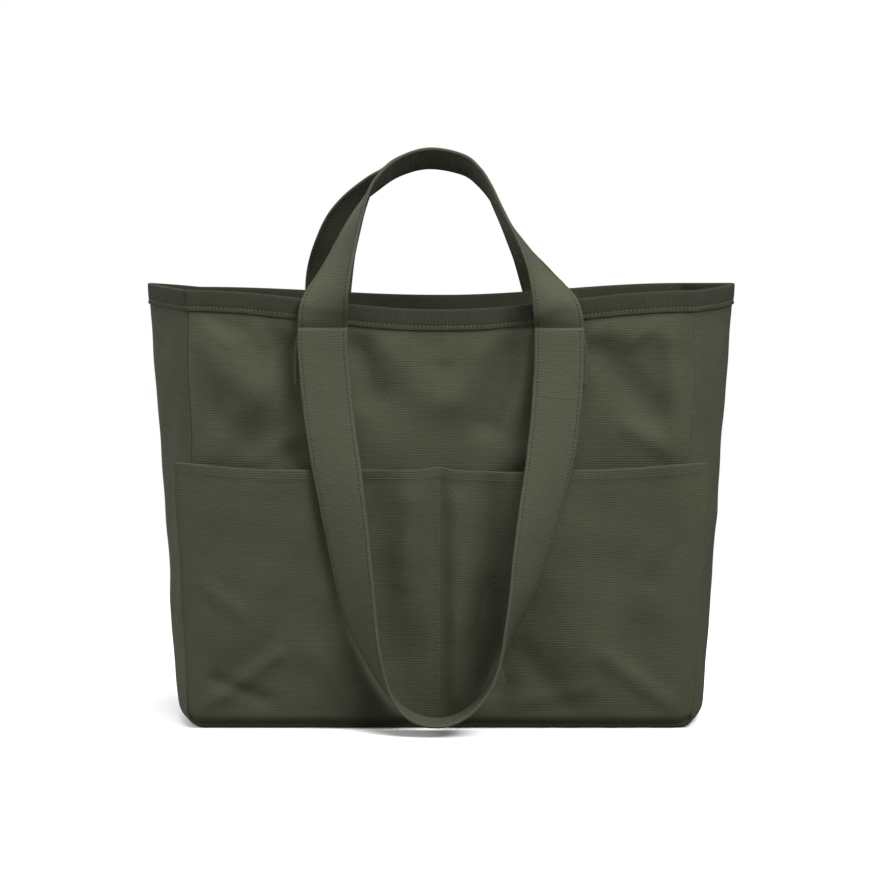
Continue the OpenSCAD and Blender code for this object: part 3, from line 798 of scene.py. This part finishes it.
# [x as a share of the anchor's, mm out from the fold, share of the drop that is left, twist, lean]
STRAP_LINE = (
    (-1, 0, 1, 0, 0), (-1, 1.5, 0.95, 0, 0), (-0.96, 5.5, 0.82, 0, 0), (-0.91, 11, 0.71, -6, 0),
    (-0.81, 17.5, 0.52, -24, 0), (-0.69, 20, 0.29, -47, 0), (-0.59, 21, 0.18, -66, 0),
    (-0.44, 21.5, 0.075, -83, 0), (-0.26, 21.5, 0.018, -90, 0), (-0.02, 21.5, 0, -90, 0),
    (0.2, 21.5, 0.021, -90, 0), (0.38, 21.5, 0.075, -90, 0), (0.5, 21.5, 0.15, -87, 0),
    (0.6, 21.5, 0.25, -74, 0), (0.69, 21, 0.34, -58, 0), (0.77, 19.5, 0.45, -42, 0),
    (0.85, 16.5, 0.56, -26, 0), (0.94, 11, 0.71, -8, 0), (0.99, 4, 0.87, 0, 0), (1, 0, 1, 0, 0),
)
STRAP_STEP = 2.5 * MM
SEWN_ENDS = (("handle", HANDLE_END_Y, END_TOP_Z), ("strap", STRAP_END_Y, STRAP_TOP_Z))
FIRST_SEWN = 8  # a leg's points before this one lie in its fold, which isn't stitched


class Ribbon:
    """A strap's middle line, with the direction across it and the direction out of its face at each point."""

    def __init__(self, points, across, out):
        self.points, self.across, self.out = points, across, out

    def cut(self, keep):
        return Ribbon(self.points[keep], self.across[keep], self.out[keep])

    def turned(self, side):
        """The same ribbon for the front or, mirrored, for the back of the bag."""
        flip = np.array([1, side, 1.0])
        order = slice(None) if side == FRONT else slice(None, None, -1)
        across = self.across * flip * side
        return Ribbon((self.points * flip)[order], across[order], (self.out * flip)[order])


def ribbon_along(line):
    """A ribbon along points of [x, y, z, twist, lean]."""
    points, twist, lean = line[:, :3], np.radians(line[:, 3:4]), np.radians(line[:, 4:5])
    along = unit(np.gradient(points, axis=0))
    for end in (0, -1):
        along[end] = (0, 0, np.sign(along[end][2]))
    plane = np.hstack([np.zeros_like(lean), -np.cos(lean), np.sin(lean)])
    flat = unit(np.cross(along, plane))
    across = unit(flat * np.cos(twist) + plane * np.sin(twist))
    return Ribbon(points, across, unit(np.cross(across, along)))


def handle_ribbon(side):
    control = smooth_line(FRONT_HANDLE_LINE if side == FRONT else BACK_HANDLE_LINE, 10)
    line = control * np.array([ANCHOR_X, HANDLE_REACH, HANDLE_RISE, 1, 1])
    line = even_line(line + np.array([0, HANDLE_Y, HANDLE_Z, 0, 0]), STRAP_STEP)
    # the first few millimetres step out over the binding
    settle = 1 - smoothstep((line[:, 2] - END_TOP_Z) / (9 * MM))
    line[:, 1] += settle * (HANDLE_END_Y - HANDLE_Y)
    return ribbon_along(line)


def strap_ribbon():
    control = smooth_line(STRAP_LINE, 10)
    line = control * np.array([ANCHOR_X, -MM, STRAP_TOP_Z - STRAP_LOW_Z, 1, 1])
    line = line + np.array([0, STRAP_Y, STRAP_LOW_Z, 0, 0])
    return ribbon_along(even_line(line, STRAP_STEP))


def with_fold(leg):
    """A hanging leg's ribbon with the fold at its top, where the cloth turns over from its sewn end."""
    radius = 0.5 * (STRAP_END_Y - STRAP_Y)
    top = leg.points[0]
    turns = np.linspace(np.pi, 0, 10)[:-1]
    out = np.stack([np.zeros_like(turns), -np.cos(turns), np.sin(turns)], axis=1)
    centre = top + np.array([0, radius, 0])
    across = np.repeat(leg.across[:1], len(turns), axis=0)
    return Ribbon(np.vstack([centre + out * radius, leg.points]), np.vstack([across, leg.across]),
                  np.vstack([out, leg.out]))


def strap_section(width, thickness, hem):
    """The strap's section as [across, out], anticlockwise, with a shallow dent under each row of stitches."""
    half, deep = 0.5 * width, 0.5 * thickness
    dent = 0.28 * MM
    stitch = half - hem
    face = [(half - deep, 1.0), (stitch + 0.6 * MM, 0.98), (stitch, None), (stitch - 0.7 * MM, 0.96),
            (stitch - 3 * MM, 0.9), (0.4 * half, 0.86), (0, 0.85)]
    upper = [(a, deep * o if o else deep - dent) for a, o in face]
    upper = upper + [(-a, o) for a, o in upper[-2::-1]]
    turns = np.linspace(0.5 * np.pi, 1.5 * np.pi, 7)[1:-1]
    left = [(-half + deep + deep * math.cos(t), deep * math.sin(t)) for t in turns]
    lower = [(-a, -o) for a, o in upper]
    right = [(-a, -o) for a, o in left]
    return np.array(upper + left + lower + right)


def strap_object(name, ribbon, straps, material):
    section = strap_section(straps.width, straps.thickness, straps.hem)
    length = distances(ribbon.points)
    waver = 1 + 0.008 * np.sin(length * 47) + 0.006 * np.sin(length * 131 + 1)
    across = ribbon.across[:, None] * (section[:, 0] * waver[:, None])[..., None]
    rings = ribbon.points[:, None] + across + ribbon.out[:, None] * section[:, 1][None, :, None]
    return tube_object(name, rings[:, ::-1], material)


class BAG_OT_sewn_ends(bpy.types.Operator):
    """Make the ends of the handles and shoulder straps, which are sewn to the panels"""

    bl_idname = "bag.sewn_ends"
    bl_label = "Sewn ends"

    def execute(self, context):
        straps = context.scene.bag_straps
        cloth = context.scene.bag_cloth
        material = cloth_material("strap", cloth.strap_colour, cloth.rib)
        for side, side_name in SIDES:
            for hand, hand_name in HANDS:
                for kind, y, top in SEWN_ENDS:
                    node = f"{side_name}_{hand_name}_{kind}_end"
                    piece = strap_object(node + "_cloth", sewn_end(side, hand, y, top), straps, material)
                    hand_over(piece, "bag", "strap", node)
        return {"FINISHED"}


def sewn_end(side, hand, y, top):
    outset = 2.6 * MM if y == STRAP_END_Y else 1.6 * MM
    z = np.linspace(ANCHOR_Z, top, 16)
    x = hand * (ANCHOR_X + outset * smoothstep((top - z) / (16 * MM)))
    line = np.stack([x, np.full_like(z, y), z, np.zeros_like(z), np.zeros_like(z)], axis=1)
    return ribbon_along(line).turned(side)


class BAG_OT_handles(bpy.types.Operator):
    """Make the two short carrying handles"""

    bl_idname = "bag.handles"
    bl_label = "Handles"

    def execute(self, context):
        cloth = context.scene.bag_cloth
        material = cloth_material("strap", cloth.strap_colour, cloth.rib)
        for side, name in SIDES:
            ribbon = handle_ribbon(side).turned(side)
            piece = strap_object(name + "_handle_cloth", ribbon, context.scene.bag_straps, material)
            hand_over_bending(piece, name + "_handle", blend_handle, side, name)
        return {"FINISHED"}


def blend_handle(piece, side, name):
    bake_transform(piece)


def blend_legs(piece, side, name):
    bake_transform(piece)


def blend_loop(piece, side, name):
    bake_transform(piece)


CUT_Z = BEND_Z + 16 * MM


def strap_parts(side):
    """The left leg, the right leg and the loop of a shoulder strap."""
    whole = strap_ribbon()
    high = whole.points[:, 2] > CUT_Z
    middle = len(high) // 2
    index = np.arange(len(high))
    first = index[high & (index < middle)][-1] + 1
    last = index[high & (index > middle)][0] - 1
    left = whole.cut(slice(0, first + 1))
    right = whole.cut(slice(last, None))
    right = Ribbon(right.points[::-1], -right.across[::-1], right.out[::-1])
    loop = whole.cut(slice(first, last + 1))
    return [part.turned(side) for part in (with_fold(left), with_fold(right), loop)]


class BAG_OT_shoulder_straps(bpy.types.Operator):
    """Make the two long shoulder straps"""

    bl_idname = "bag.shoulder_straps"
    bl_label = "Shoulder straps"

    def execute(self, context):
        cloth = context.scene.bag_cloth
        straps = context.scene.bag_straps
        material = cloth_material("strap", cloth.strap_colour, cloth.rib)
        for side, name in SIDES:
            left, right, loop = strap_parts(side)
            for part, part_name in ((left, "_left_leg_cloth"), (right, "_right_leg_cloth")):
                piece = strap_object(name + part_name, part, straps, material)
                hand_over_bending(piece, name + "_strap_legs", blend_legs, side, name)
            piece = strap_object(name + "_loop_cloth", loop, straps, material)
            hand_over_bending(piece, name + "_strap_loop", blend_loop, side, name)
        return {"FINISHED"}


# ---- stitches ----


def stitch_tree():
    """A node tree that lays one short length of thread on every point it is given."""
    made = bpy.data.node_groups.get("Stitches")
    if made:
        return made
    tree = bpy.data.node_groups.new("Stitches", "GeometryNodeTree")
    face = tree.interface
    face.new_socket("Geometry", in_out="INPUT", socket_type="NodeSocketGeometry")
    for label, default in (("Length", 2.2 * MM), ("Width", 0.75 * MM), ("Height", 0.5 * MM)):
        socket = face.new_socket(label, in_out="INPUT", socket_type="NodeSocketFloat")
        socket.default_value = default
    face.new_socket("Thread", in_out="INPUT", socket_type="NodeSocketMaterial")
    face.new_socket("Geometry", in_out="OUTPUT", socket_type="NodeSocketGeometry")
    add, link = tree.nodes.new, tree.links.new
    given, result = add("NodeGroupInput"), add("NodeGroupOutput")
    bead = add("GeometryNodeMeshUVSphere")
    bead.inputs["Segments"].default_value = 8
    bead.inputs["Rings"].default_value = 5
    bead.inputs["Radius"].default_value = 0.5
    size = add("ShaderNodeCombineXYZ")
    shape = add("GeometryNodeTransform")
    smooth = add("GeometryNodeSetShadeSmooth")
    turns = []
    for name, axis in (("along", "X"), ("up", "Z")):
        direction = add("GeometryNodeInputNamedAttribute")
        direction.data_type = "FLOAT_VECTOR"
        direction.inputs["Name"].default_value = name
        turn = add("FunctionNodeAlignRotationToVector")
        turn.axis = axis
        turn.pivot_axis = "AUTO" if axis == "X" else "X"
        link(direction.outputs["Attribute"], turn.inputs["Vector"])
        turns.append(turn)
    link(turns[0].outputs["Rotation"], turns[1].inputs["Rotation"])
    lay = add("GeometryNodeInstanceOnPoints")
    real = add("GeometryNodeRealizeInstances")
    dress = add("GeometryNodeSetMaterial")
    for label, axis in (("Length", "X"), ("Width", "Y"), ("Height", "Z")):
        link(given.outputs[label], size.inputs[axis])
    link(bead.outputs["Mesh"], shape.inputs["Geometry"])
    link(size.outputs["Vector"], shape.inputs["Scale"])
    link(shape.outputs["Geometry"], smooth.inputs["Geometry"])
    link(given.outputs["Geometry"], lay.inputs["Points"])
    link(smooth.outputs["Geometry"], lay.inputs["Instance"])
    link(turns[1].outputs["Rotation"], lay.inputs["Rotation"])
    link(lay.outputs["Instances"], real.inputs["Geometry"])
    link(real.outputs["Geometry"], dress.inputs["Geometry"])
    link(given.outputs["Thread"], dress.inputs["Material"])
    link(dress.outputs["Geometry"], result.inputs["Geometry"])
    return tree


def stitch_object(name, rows, context, thread):
    """One mesh with all the stitches of these rows. Each row is (points, directions out of the cloth)."""
    settings = context.scene.bag_stitches
    places, alongs, ups = [], [], []
    for points, out in rows:
        line = even_line(np.hstack([points, out]), settings.pitch)
        places.append(line[:, :3])
        alongs.append(unit(np.gradient(line[:, :3], axis=0)))
        ups.append(unit(line[:, 3:]))
    mesh = bpy.data.meshes.new(name + "_points")
    mesh.from_pydata(np.vstack(places).tolist(), [], [])
    for label, values in (("along", alongs), ("up", ups)):
        attribute = mesh.attributes.new(label, "FLOAT_VECTOR", "POINT")
        attribute.data.foreach_set("vector", np.vstack(values).astype(np.float32).ravel())
    source = bpy.data.objects.new(name + "_points", mesh)
    context.scene.collection.objects.link(source)
    modifier = source.modifiers.new("Stitches", "NODES")
    modifier.node_group = stitch_tree()
    width = settings.width
    values = {"Length": settings.length, "Width": width, "Height": 0.6 * width, "Thread": thread}
    for socket in modifier.node_group.interface.items_tree:
        if socket.in_out == "INPUT" and socket.name in values:
            modifier[socket.identifier] = values[socket.name]
    context.view_layer.update()
    evaluated = source.evaluated_get(context.evaluated_depsgraph_get())
    result = bpy.data.objects.new(name, bpy.data.meshes.new_from_object(evaluated))
    context.scene.collection.objects.link(result)
    bpy.data.objects.remove(source)
    return result


def ribbon_rows(ribbon, straps):
    """Rows of stitches along both edges of a ribbon, on both faces."""
    at = 0.5 * straps.width - straps.hem
    lift = 0.5 * straps.thickness - 0.16 * MM
    inner = slice(1, -1)
    rows = []
    for edge in (-1, 1):
        for face in (1, -1):
            points = ribbon.points + ribbon.across * at * edge + ribbon.out * lift * face
            rows.append((points[inner], (ribbon.out * face)[inner]))
    return rows


class BAG_OT_body_stitches(bpy.types.Operator):
    """Sew the rim, the pocket and the straps' ends"""

    bl_idname = "bag.body_stitches"
    bl_label = "Body stitches"

    def execute(self, context):
        # the near-black thread colour is painted shade of the sunken stitches
        thread = thread_material("thread", context.scene.bag_cloth.thread_shade_colour)
        top, foot, out = mouth_lines(RIM_STEP)
        line = mix(top, foot, STITCH_DROP / BINDING_H)
        rows = [(line + out * sign * (BINDING_OUT - 0.28 * MM), out * sign) for sign in (1, -1)]
        piece = stitch_object("rim_stitches", rows, context, thread)
        hand_over(piece, "bag", "thread", "rim_stitching")
        grid, _, below_top = pocket_grid(POCKET_STEP, POCKET_ROLL)
        normals = outward(grid)
        row = int(np.argmin(np.abs(below_top[:, 0] - HEM_H)))
        keep = np.abs(grid[row, :, 0]) < 0.985 * HALF_W
        lifted = grid + normals * 0.02 * MM
        rows = [(lifted[row][keep], normals[row][keep])]
        piece = stitch_object("pocket_hem_stitches", rows, context, thread)
        hand_over(piece, "bag", "thread", "pocket_hem_stitching")
        divider = (DIVIDER_ROWS, grid.shape[1] // 2)
        rows = [(lifted[divider], normals[divider])]
        piece = stitch_object("pocket_divider_stitches", rows, context, thread)
        hand_over(piece, "bag", "thread", "pocket_divider_stitching")
        for side, name in SIDES:
            straps = context.scene.bag_straps
            rows = anchor_rows(side, LEFT, straps) + anchor_rows(side, RIGHT, straps)
            piece = stitch_object(name + "_anchor_stitches", rows, context, thread)
            hand_over(piece, "bag", "thread", name + "_anchor_stitching")
        return {"FINISHED"}


def anchor_rows(side, hand, straps):
    """A box with a cross in it, sewn through the ends of a handle and a shoulder strap."""
    half = 0.5 * straps.width - straps.hem
    low, high = ANCHOR_Z + 4 * MM, STRAP_TOP_Z - 9 * MM
    y = side * (STRAP_END_Y - 0.5 * straps.thickness + 0.1 * MM)
    middle = hand * (ANCHOR_X + 1.4 * MM)
    corners = [(-half, low), (half, low), (half, high), (-half, high), (-half, low)]
    lines = [corners[k:k + 2] for k in range(4)] + [[corners[0], corners[2]], [corners[1], corners[3]]]
    rows = []
    for (x0, z0), (x1, z1) in lines:
        t = np.linspace(0, 1, 12)[:, None]
        points = mix(np.array([middle + x0, y, z0]), np.array([middle + x1, y, z1]), t)
        rows.append((points, np.repeat([[0, -side, 0.0]], 12, axis=0)))
    return rows


class BAG_OT_strap_stitches(bpy.types.Operator):
    """Sew the edges of the handles and shoulder straps"""

    bl_idname = "bag.strap_stitches"
    bl_label = "Strap stitches"

    def execute(self, context):
        straps = context.scene.bag_straps
        # the strap thread's darker colour is painted shade of its sunken stitch rows
        thread = thread_material("strap_thread", context.scene.bag_cloth.strap_thread_shade_colour)
        for side, name in SIDES:
            rows = ribbon_rows(handle_ribbon(side).turned(side), straps)
            piece = stitch_object(name + "_handle_stitches", rows, context, thread)
            hand_over_bending(piece, name + "_handle_stitching", blend_handle, side, name)
            left, right, loop = strap_parts(side)
            sewn = slice(FIRST_SEWN, None)
            rows = ribbon_rows(left.cut(sewn), straps) + ribbon_rows(right.cut(sewn), straps)
            piece = stitch_object(name + "_leg_stitches", rows, context, thread)
            hand_over_bending(piece, name + "_leg_stitching", blend_legs, side, name)
            piece = stitch_object(name + "_loop_stitches", ribbon_rows(loop, straps), context, thread)
            hand_over_bending(piece, name + "_loop_stitching", blend_loop, side, name)
        return {"FINISHED"}


# ---- materials ----


class Nodes:
    """Short calls for laying out a node tree."""

    def __init__(self, tree):
        self.tree = tree

    def put(self, kind, **inputs):
        node = self.tree.nodes.new(kind)
        for key, value in inputs.items():
            self.feed(node, key, value)
        return node

    def feed(self, node, key, value):
        socket = node.inputs[int(key[1:])] if key[0] == "_" else node.inputs[key]
        if isinstance(value, bpy.types.NodeSocket):
            self.tree.links.new(value, socket)
        else:
            socket.default_value = value

    def math(self, operation, a, b=0.0):
        node = self.put("ShaderNodeMath", _0=a, _1=b)
        node.operation = operation
        return node.outputs[0]

    def stretch(self, vector, x, y):
        """The vector with its first two parts scaled."""
        node = self.put("ShaderNodeVectorMath", _0=vector, _1=(x, y, 1))
        node.operation = "MULTIPLY"
        return node.outputs[0]

    def noise(self, vector, scale, detail):
        return self.put("ShaderNodeTexNoise", Vector=vector, Scale=scale, Detail=detail).outputs[0]

    def tint(self, share, low, high):
        """A colour this share of the way from one to the other."""
        node = self.put("ShaderNodeMix", Factor=share)
        node.data_type = "RGBA"
        node.inputs[6].default_value = (*low, 1)
        node.inputs[7].default_value = (*high, 1)
        return node.outputs[2]


def new_material(name):
    """A new material, its nodes and its shader."""
    material = bpy.data.materials.new(name)
    material.use_nodes = True
    return material, Nodes(material.node_tree), material.node_tree.nodes["Principled BSDF"]


def weave_group():
    """Canvas: rounded ribs across the cloth, crossed by finer threads, in yarn of uneven thickness."""
    made = bpy.data.node_groups.get("Canvas weave")
    if made:
        return made
    group = bpy.data.node_groups.new("Canvas weave", "ShaderNodeTree")
    face = group.interface
    face.new_socket("Cloth place", in_out="INPUT", socket_type="NodeSocketVector")
    for label, default in (("Rib pitch", 1.7 * MM), ("Slub", 0.5), ("Wear", 0.3)):
        face.new_socket(label, in_out="INPUT", socket_type="NodeSocketFloat").default_value = default
    for label in ("Height", "Tone"):
        face.new_socket(label, in_out="OUTPUT", socket_type="NodeSocketFloat")
    n = Nodes(group)
    given = n.put("NodeGroupInput").outputs
    place = given["Cloth place"]
    wobble = n.math("MULTIPLY", n.noise(place, 260.0, 2.0), 0.9)
    parts = n.put("ShaderNodeSeparateXYZ", Vector=place).outputs
    rib_count = n.math("DIVIDE", parts[1], given["Rib pitch"])
    rib_turn = n.math("ADD", n.math("MULTIPLY", rib_count, 2 * math.pi), wobble)
    thread_turn = n.math("MULTIPLY", n.math("DIVIDE", parts[0], given["Rib pitch"]), 2.6 * math.pi)
    rib = n.math("ADD", n.math("MULTIPLY", n.math("SINE", rib_turn), 0.5), 0.5)
    half_turn = n.math("MULTIPLY", rib_turn, 0.5)
    crossing = n.math("MULTIPLY", n.math("SINE", thread_turn), n.math("SINE", half_turn))
    slubs = n.noise(n.stretch(place, 55.0, 620.0), 1.0, 2.0)
    fibres = n.noise(n.stretch(place, 900.0, 2600.0), 1.0, 2.0)
    slub_part = n.math("MULTIPLY", n.math("SUBTRACT", slubs, 0.5), given["Slub"])
    weave = n.math("ADD", n.math("MULTIPLY", rib, 0.62), n.math("MULTIPLY", crossing, 0.26))
    height = n.math("ADD", weave, n.math("ADD", slub_part, n.math("MULTIPLY", fibres, 0.3)))
    rubbed = n.noise(place, 17.0, 4.0)
    rub_part = n.math("MULTIPLY", n.math("SUBTRACT", rubbed, 0.5), given["Wear"])
    # painted shade: the tone follows the weave's height, lighter on the ribs' tops and darker in the hollows
    # between them, plus random tone from slubs, fibres and rubbing
    tone_and_rib_shade = n.math("ADD", n.math("MULTIPLY", weave, 0.26), n.math("MULTIPLY", slub_part, 0.5))
    fibre_part = n.math("MULTIPLY", n.math("SUBTRACT", fibres, 0.5), 0.35)
    tone_and_rib_shade = n.math("ADD", tone_and_rib_shade, n.math("ADD", rub_part, fibre_part))
    n.put("NodeGroupOutput", Height=height, Tone=tone_and_rib_shade)
    return group


def cloth_material(name, colour, rib):
    """Woven cotton with painted shade: lighter on the tops of its ribs and darker between them."""
    made = bpy.data.materials.get(name + "_cloth")
    if made:
        return made
    material, n, shader = new_material(name + "_cloth")
    place = n.put("ShaderNodeUVMap")
    place.uv_map = "UVMap"
    weave = n.put("ShaderNodeGroup")
    weave.node_tree = weave_group()
    n.feed(weave, "Cloth place", place.outputs["UV"])
    weave.inputs["Rib pitch"].default_value = rib
    tone_and_rib_shade = n.math("ADD", weave.outputs["Tone"], 0.35)
    dark, light = ([c * k for c in colour] for k in (0.55, 1.5))
    n.feed(shader, "Base Color", n.tint(tone_and_rib_shade, dark, light))
    bump = n.put("ShaderNodeBump", Height=weave.outputs["Height"])
    bump.inputs["Strength"].default_value = 0.8
    bump.inputs["Distance"].default_value = 0.35 * MM
    n.feed(shader, "Normal", bump.outputs["Normal"])
    shader.inputs["Roughness"].default_value = 0.88
    shader.inputs["Specular IOR Level"].default_value = 0.1
    return material


def thread_material(name, colour):
    """Twisted sewing thread, in a given colour that is darkened as painted shade of its sunken stitches."""
    made = bpy.data.materials.get(name)
    if made:
        return made
    material, n, shader = new_material(name)
    fuzz = n.noise(n.put("ShaderNodeTexCoord").outputs["Object"], 1400.0, 2.0)
    dark, light = ([c * k for c in colour] for k in (0.7, 1.3))
    n.feed(shader, "Base Color", n.tint(fuzz, dark, light))
    shader.inputs["Roughness"].default_value = 0.8
    shader.inputs["Specular IOR Level"].default_value = 0.05
    return material


# ---- stage ----

CAMERA_PLACE = (-0.0007, -2.75, 0.4546)
CAMERA_TARGET = (-0.0007, -0.08, 0.2304)
CAMERA_LENS = 138.8


def look_at(thing, target):
    direction = np.array(target) - np.array(thing.location)
    flat = math.hypot(direction[0], direction[1])
    thing.rotation_euler = (math.atan2(flat, -direction[2]), 0, math.atan2(-direction[0], direction[1]))


class BAG_OT_stage(bpy.types.Operator):
    """Lay the floor, and set the lights and the camera"""

    bl_idname = "bag.stage"
    bl_label = "Stage"

    def execute(self, context):
        stage = context.scene.bag_stage
        world = context.scene.world or bpy.data.worlds.new("World")
        context.scene.world = world
        world.use_nodes = True
        sky = world.node_tree.nodes["Background"]
        sky.inputs["Color"].default_value = (1, 1, 1, 1)
        n = Nodes(world.node_tree)
        seen = n.put("ShaderNodeLightPath").outputs["Is Camera Ray"]
        n.feed(sky, "Strength", n.math("ADD", n.math("MULTIPLY", seen, 1 - stage.sky), stage.sky))
        context.scene.view_settings.view_transform = "Standard"
        self.floor(context, stage.floor_colour)
        lights = (
            ("Main light", (1.1, -1.5, 1.6), stage.key, 1.0),
            ("Fill light", (-2.6, -0.7, 1.0), stage.fill, 1.8),
            ("Back light", (-1.3, 2.3, 1.5), stage.fill, 1.8),
            ("Top light", (0.3, -0.6, 2.4), stage.key, 1.6),
        )
        for name, place, power, size in lights:
            lamp = bpy.data.lights.new(name, "AREA")
            lamp.energy = power
            lamp.size = size
            light = bpy.data.objects.new(name, lamp)
            light.location = place
            look_at(light, (0, 0, 0.2))
            context.scene.collection.objects.link(light)
        camera = bpy.data.objects.new("Camera", bpy.data.cameras.new("Camera"))
        camera.data.lens = CAMERA_LENS
        camera.data.clip_start = 0.05
        camera.location = CAMERA_PLACE
        look_at(camera, CAMERA_TARGET)
        context.scene.collection.objects.link(camera)
        context.scene.camera = camera
        return {"FINISHED"}

    def floor(self, context, colour):
        mesh = bpy.data.meshes.new("floor")
        reach = 2.2
        corners = [(-reach, -reach, 0), (reach, -reach, 0), (reach, reach, 0), (-reach, reach, 0)]
        mesh.from_pydata(corners, [], [(0, 1, 2, 3)])
        material, n, shader = new_material("floor")
        # light that bounces up from the floor is weaker than the floor looks
        seen = n.put("ShaderNodeLightPath").outputs["Is Camera Ray"]
        n.feed(shader, "Base Color", n.tint(seen, [0.35 * c for c in colour], colour))
        shader.inputs["Roughness"].default_value = 0.9
        # far from the bag the floor fades into the white behind it
        place = n.put("ShaderNodeTexCoord").outputs["Object"]
        away = n.put("ShaderNodeVectorMath", _0=place)
        away.operation = "LENGTH"
        far = n.put("ShaderNodeMapRange", Value=away.outputs["Value"])
        far.inputs["From Min"].default_value = 0.35
        far.inputs["From Max"].default_value = 0.9
        white = n.put("ShaderNodeEmission")
        both = n.put("ShaderNodeMixShader", _0=n.math("MULTIPLY", far.outputs["Result"], seen))
        n.feed(both, "_1", shader.outputs["BSDF"])
        n.feed(both, "_2", white.outputs["Emission"])
        n.feed(material.node_tree.nodes["Material Output"], "Surface", both.outputs["Shader"])
        mesh.materials.append(material)
        plane = bpy.data.objects.new("floor", mesh)
        context.scene.collection.objects.link(plane)
        return plane


# ---- add-on ----

PIECES = (
    BAG_OT_panels, BAG_OT_seam_tapes, BAG_OT_rim, BAG_OT_pocket, BAG_OT_sewn_ends, BAG_OT_handles,
    BAG_OT_shoulder_straps, BAG_OT_body_stitches, BAG_OT_strap_stitches, BAG_OT_stage,
)
SETTINGS = {
    "bag_cloth": BagCloth,
    "bag_straps": BagStraps,
    "bag_stitches": BagStitches,
    "bag_stage": BagStage,
}


class BAG_PT_sidebar(bpy.types.Panel):
    """Lists the bag's pieces and their settings"""

    bl_label = "Garden Tool Bag"
    bl_idname = "BAG_PT_sidebar"
    bl_space_type = "VIEW_3D"
    bl_region_type = "UI"
    bl_category = "Tool Bag"

    def draw(self, context):
        for attribute, group in SETTINGS.items():
            box = self.layout.box()
            for prop in group.__annotations__:
                box.prop(getattr(context.scene, attribute), prop)
        for piece in PIECES:
            self.layout.operator(piece.bl_idname)


def register():
    for attribute, group in SETTINGS.items():
        bpy.utils.register_class(group)
        setattr(bpy.types.Scene, attribute, bpy.props.PointerProperty(type=group))
    for piece in (*PIECES, BAG_PT_sidebar):
        bpy.utils.register_class(piece)


def unregister():
    for piece in (BAG_PT_sidebar, *reversed(PIECES)):
        bpy.utils.unregister_class(piece)
    for attribute, group in SETTINGS.items():
        delattr(bpy.types.Scene, attribute)
        bpy.utils.unregister_class(group)


def main():
    register()
    for piece in PIECES:
        family, name = piece.bl_idname.split(".")
        getattr(getattr(bpy.ops, family), name)()


if __name__ == "__main__":
    main()
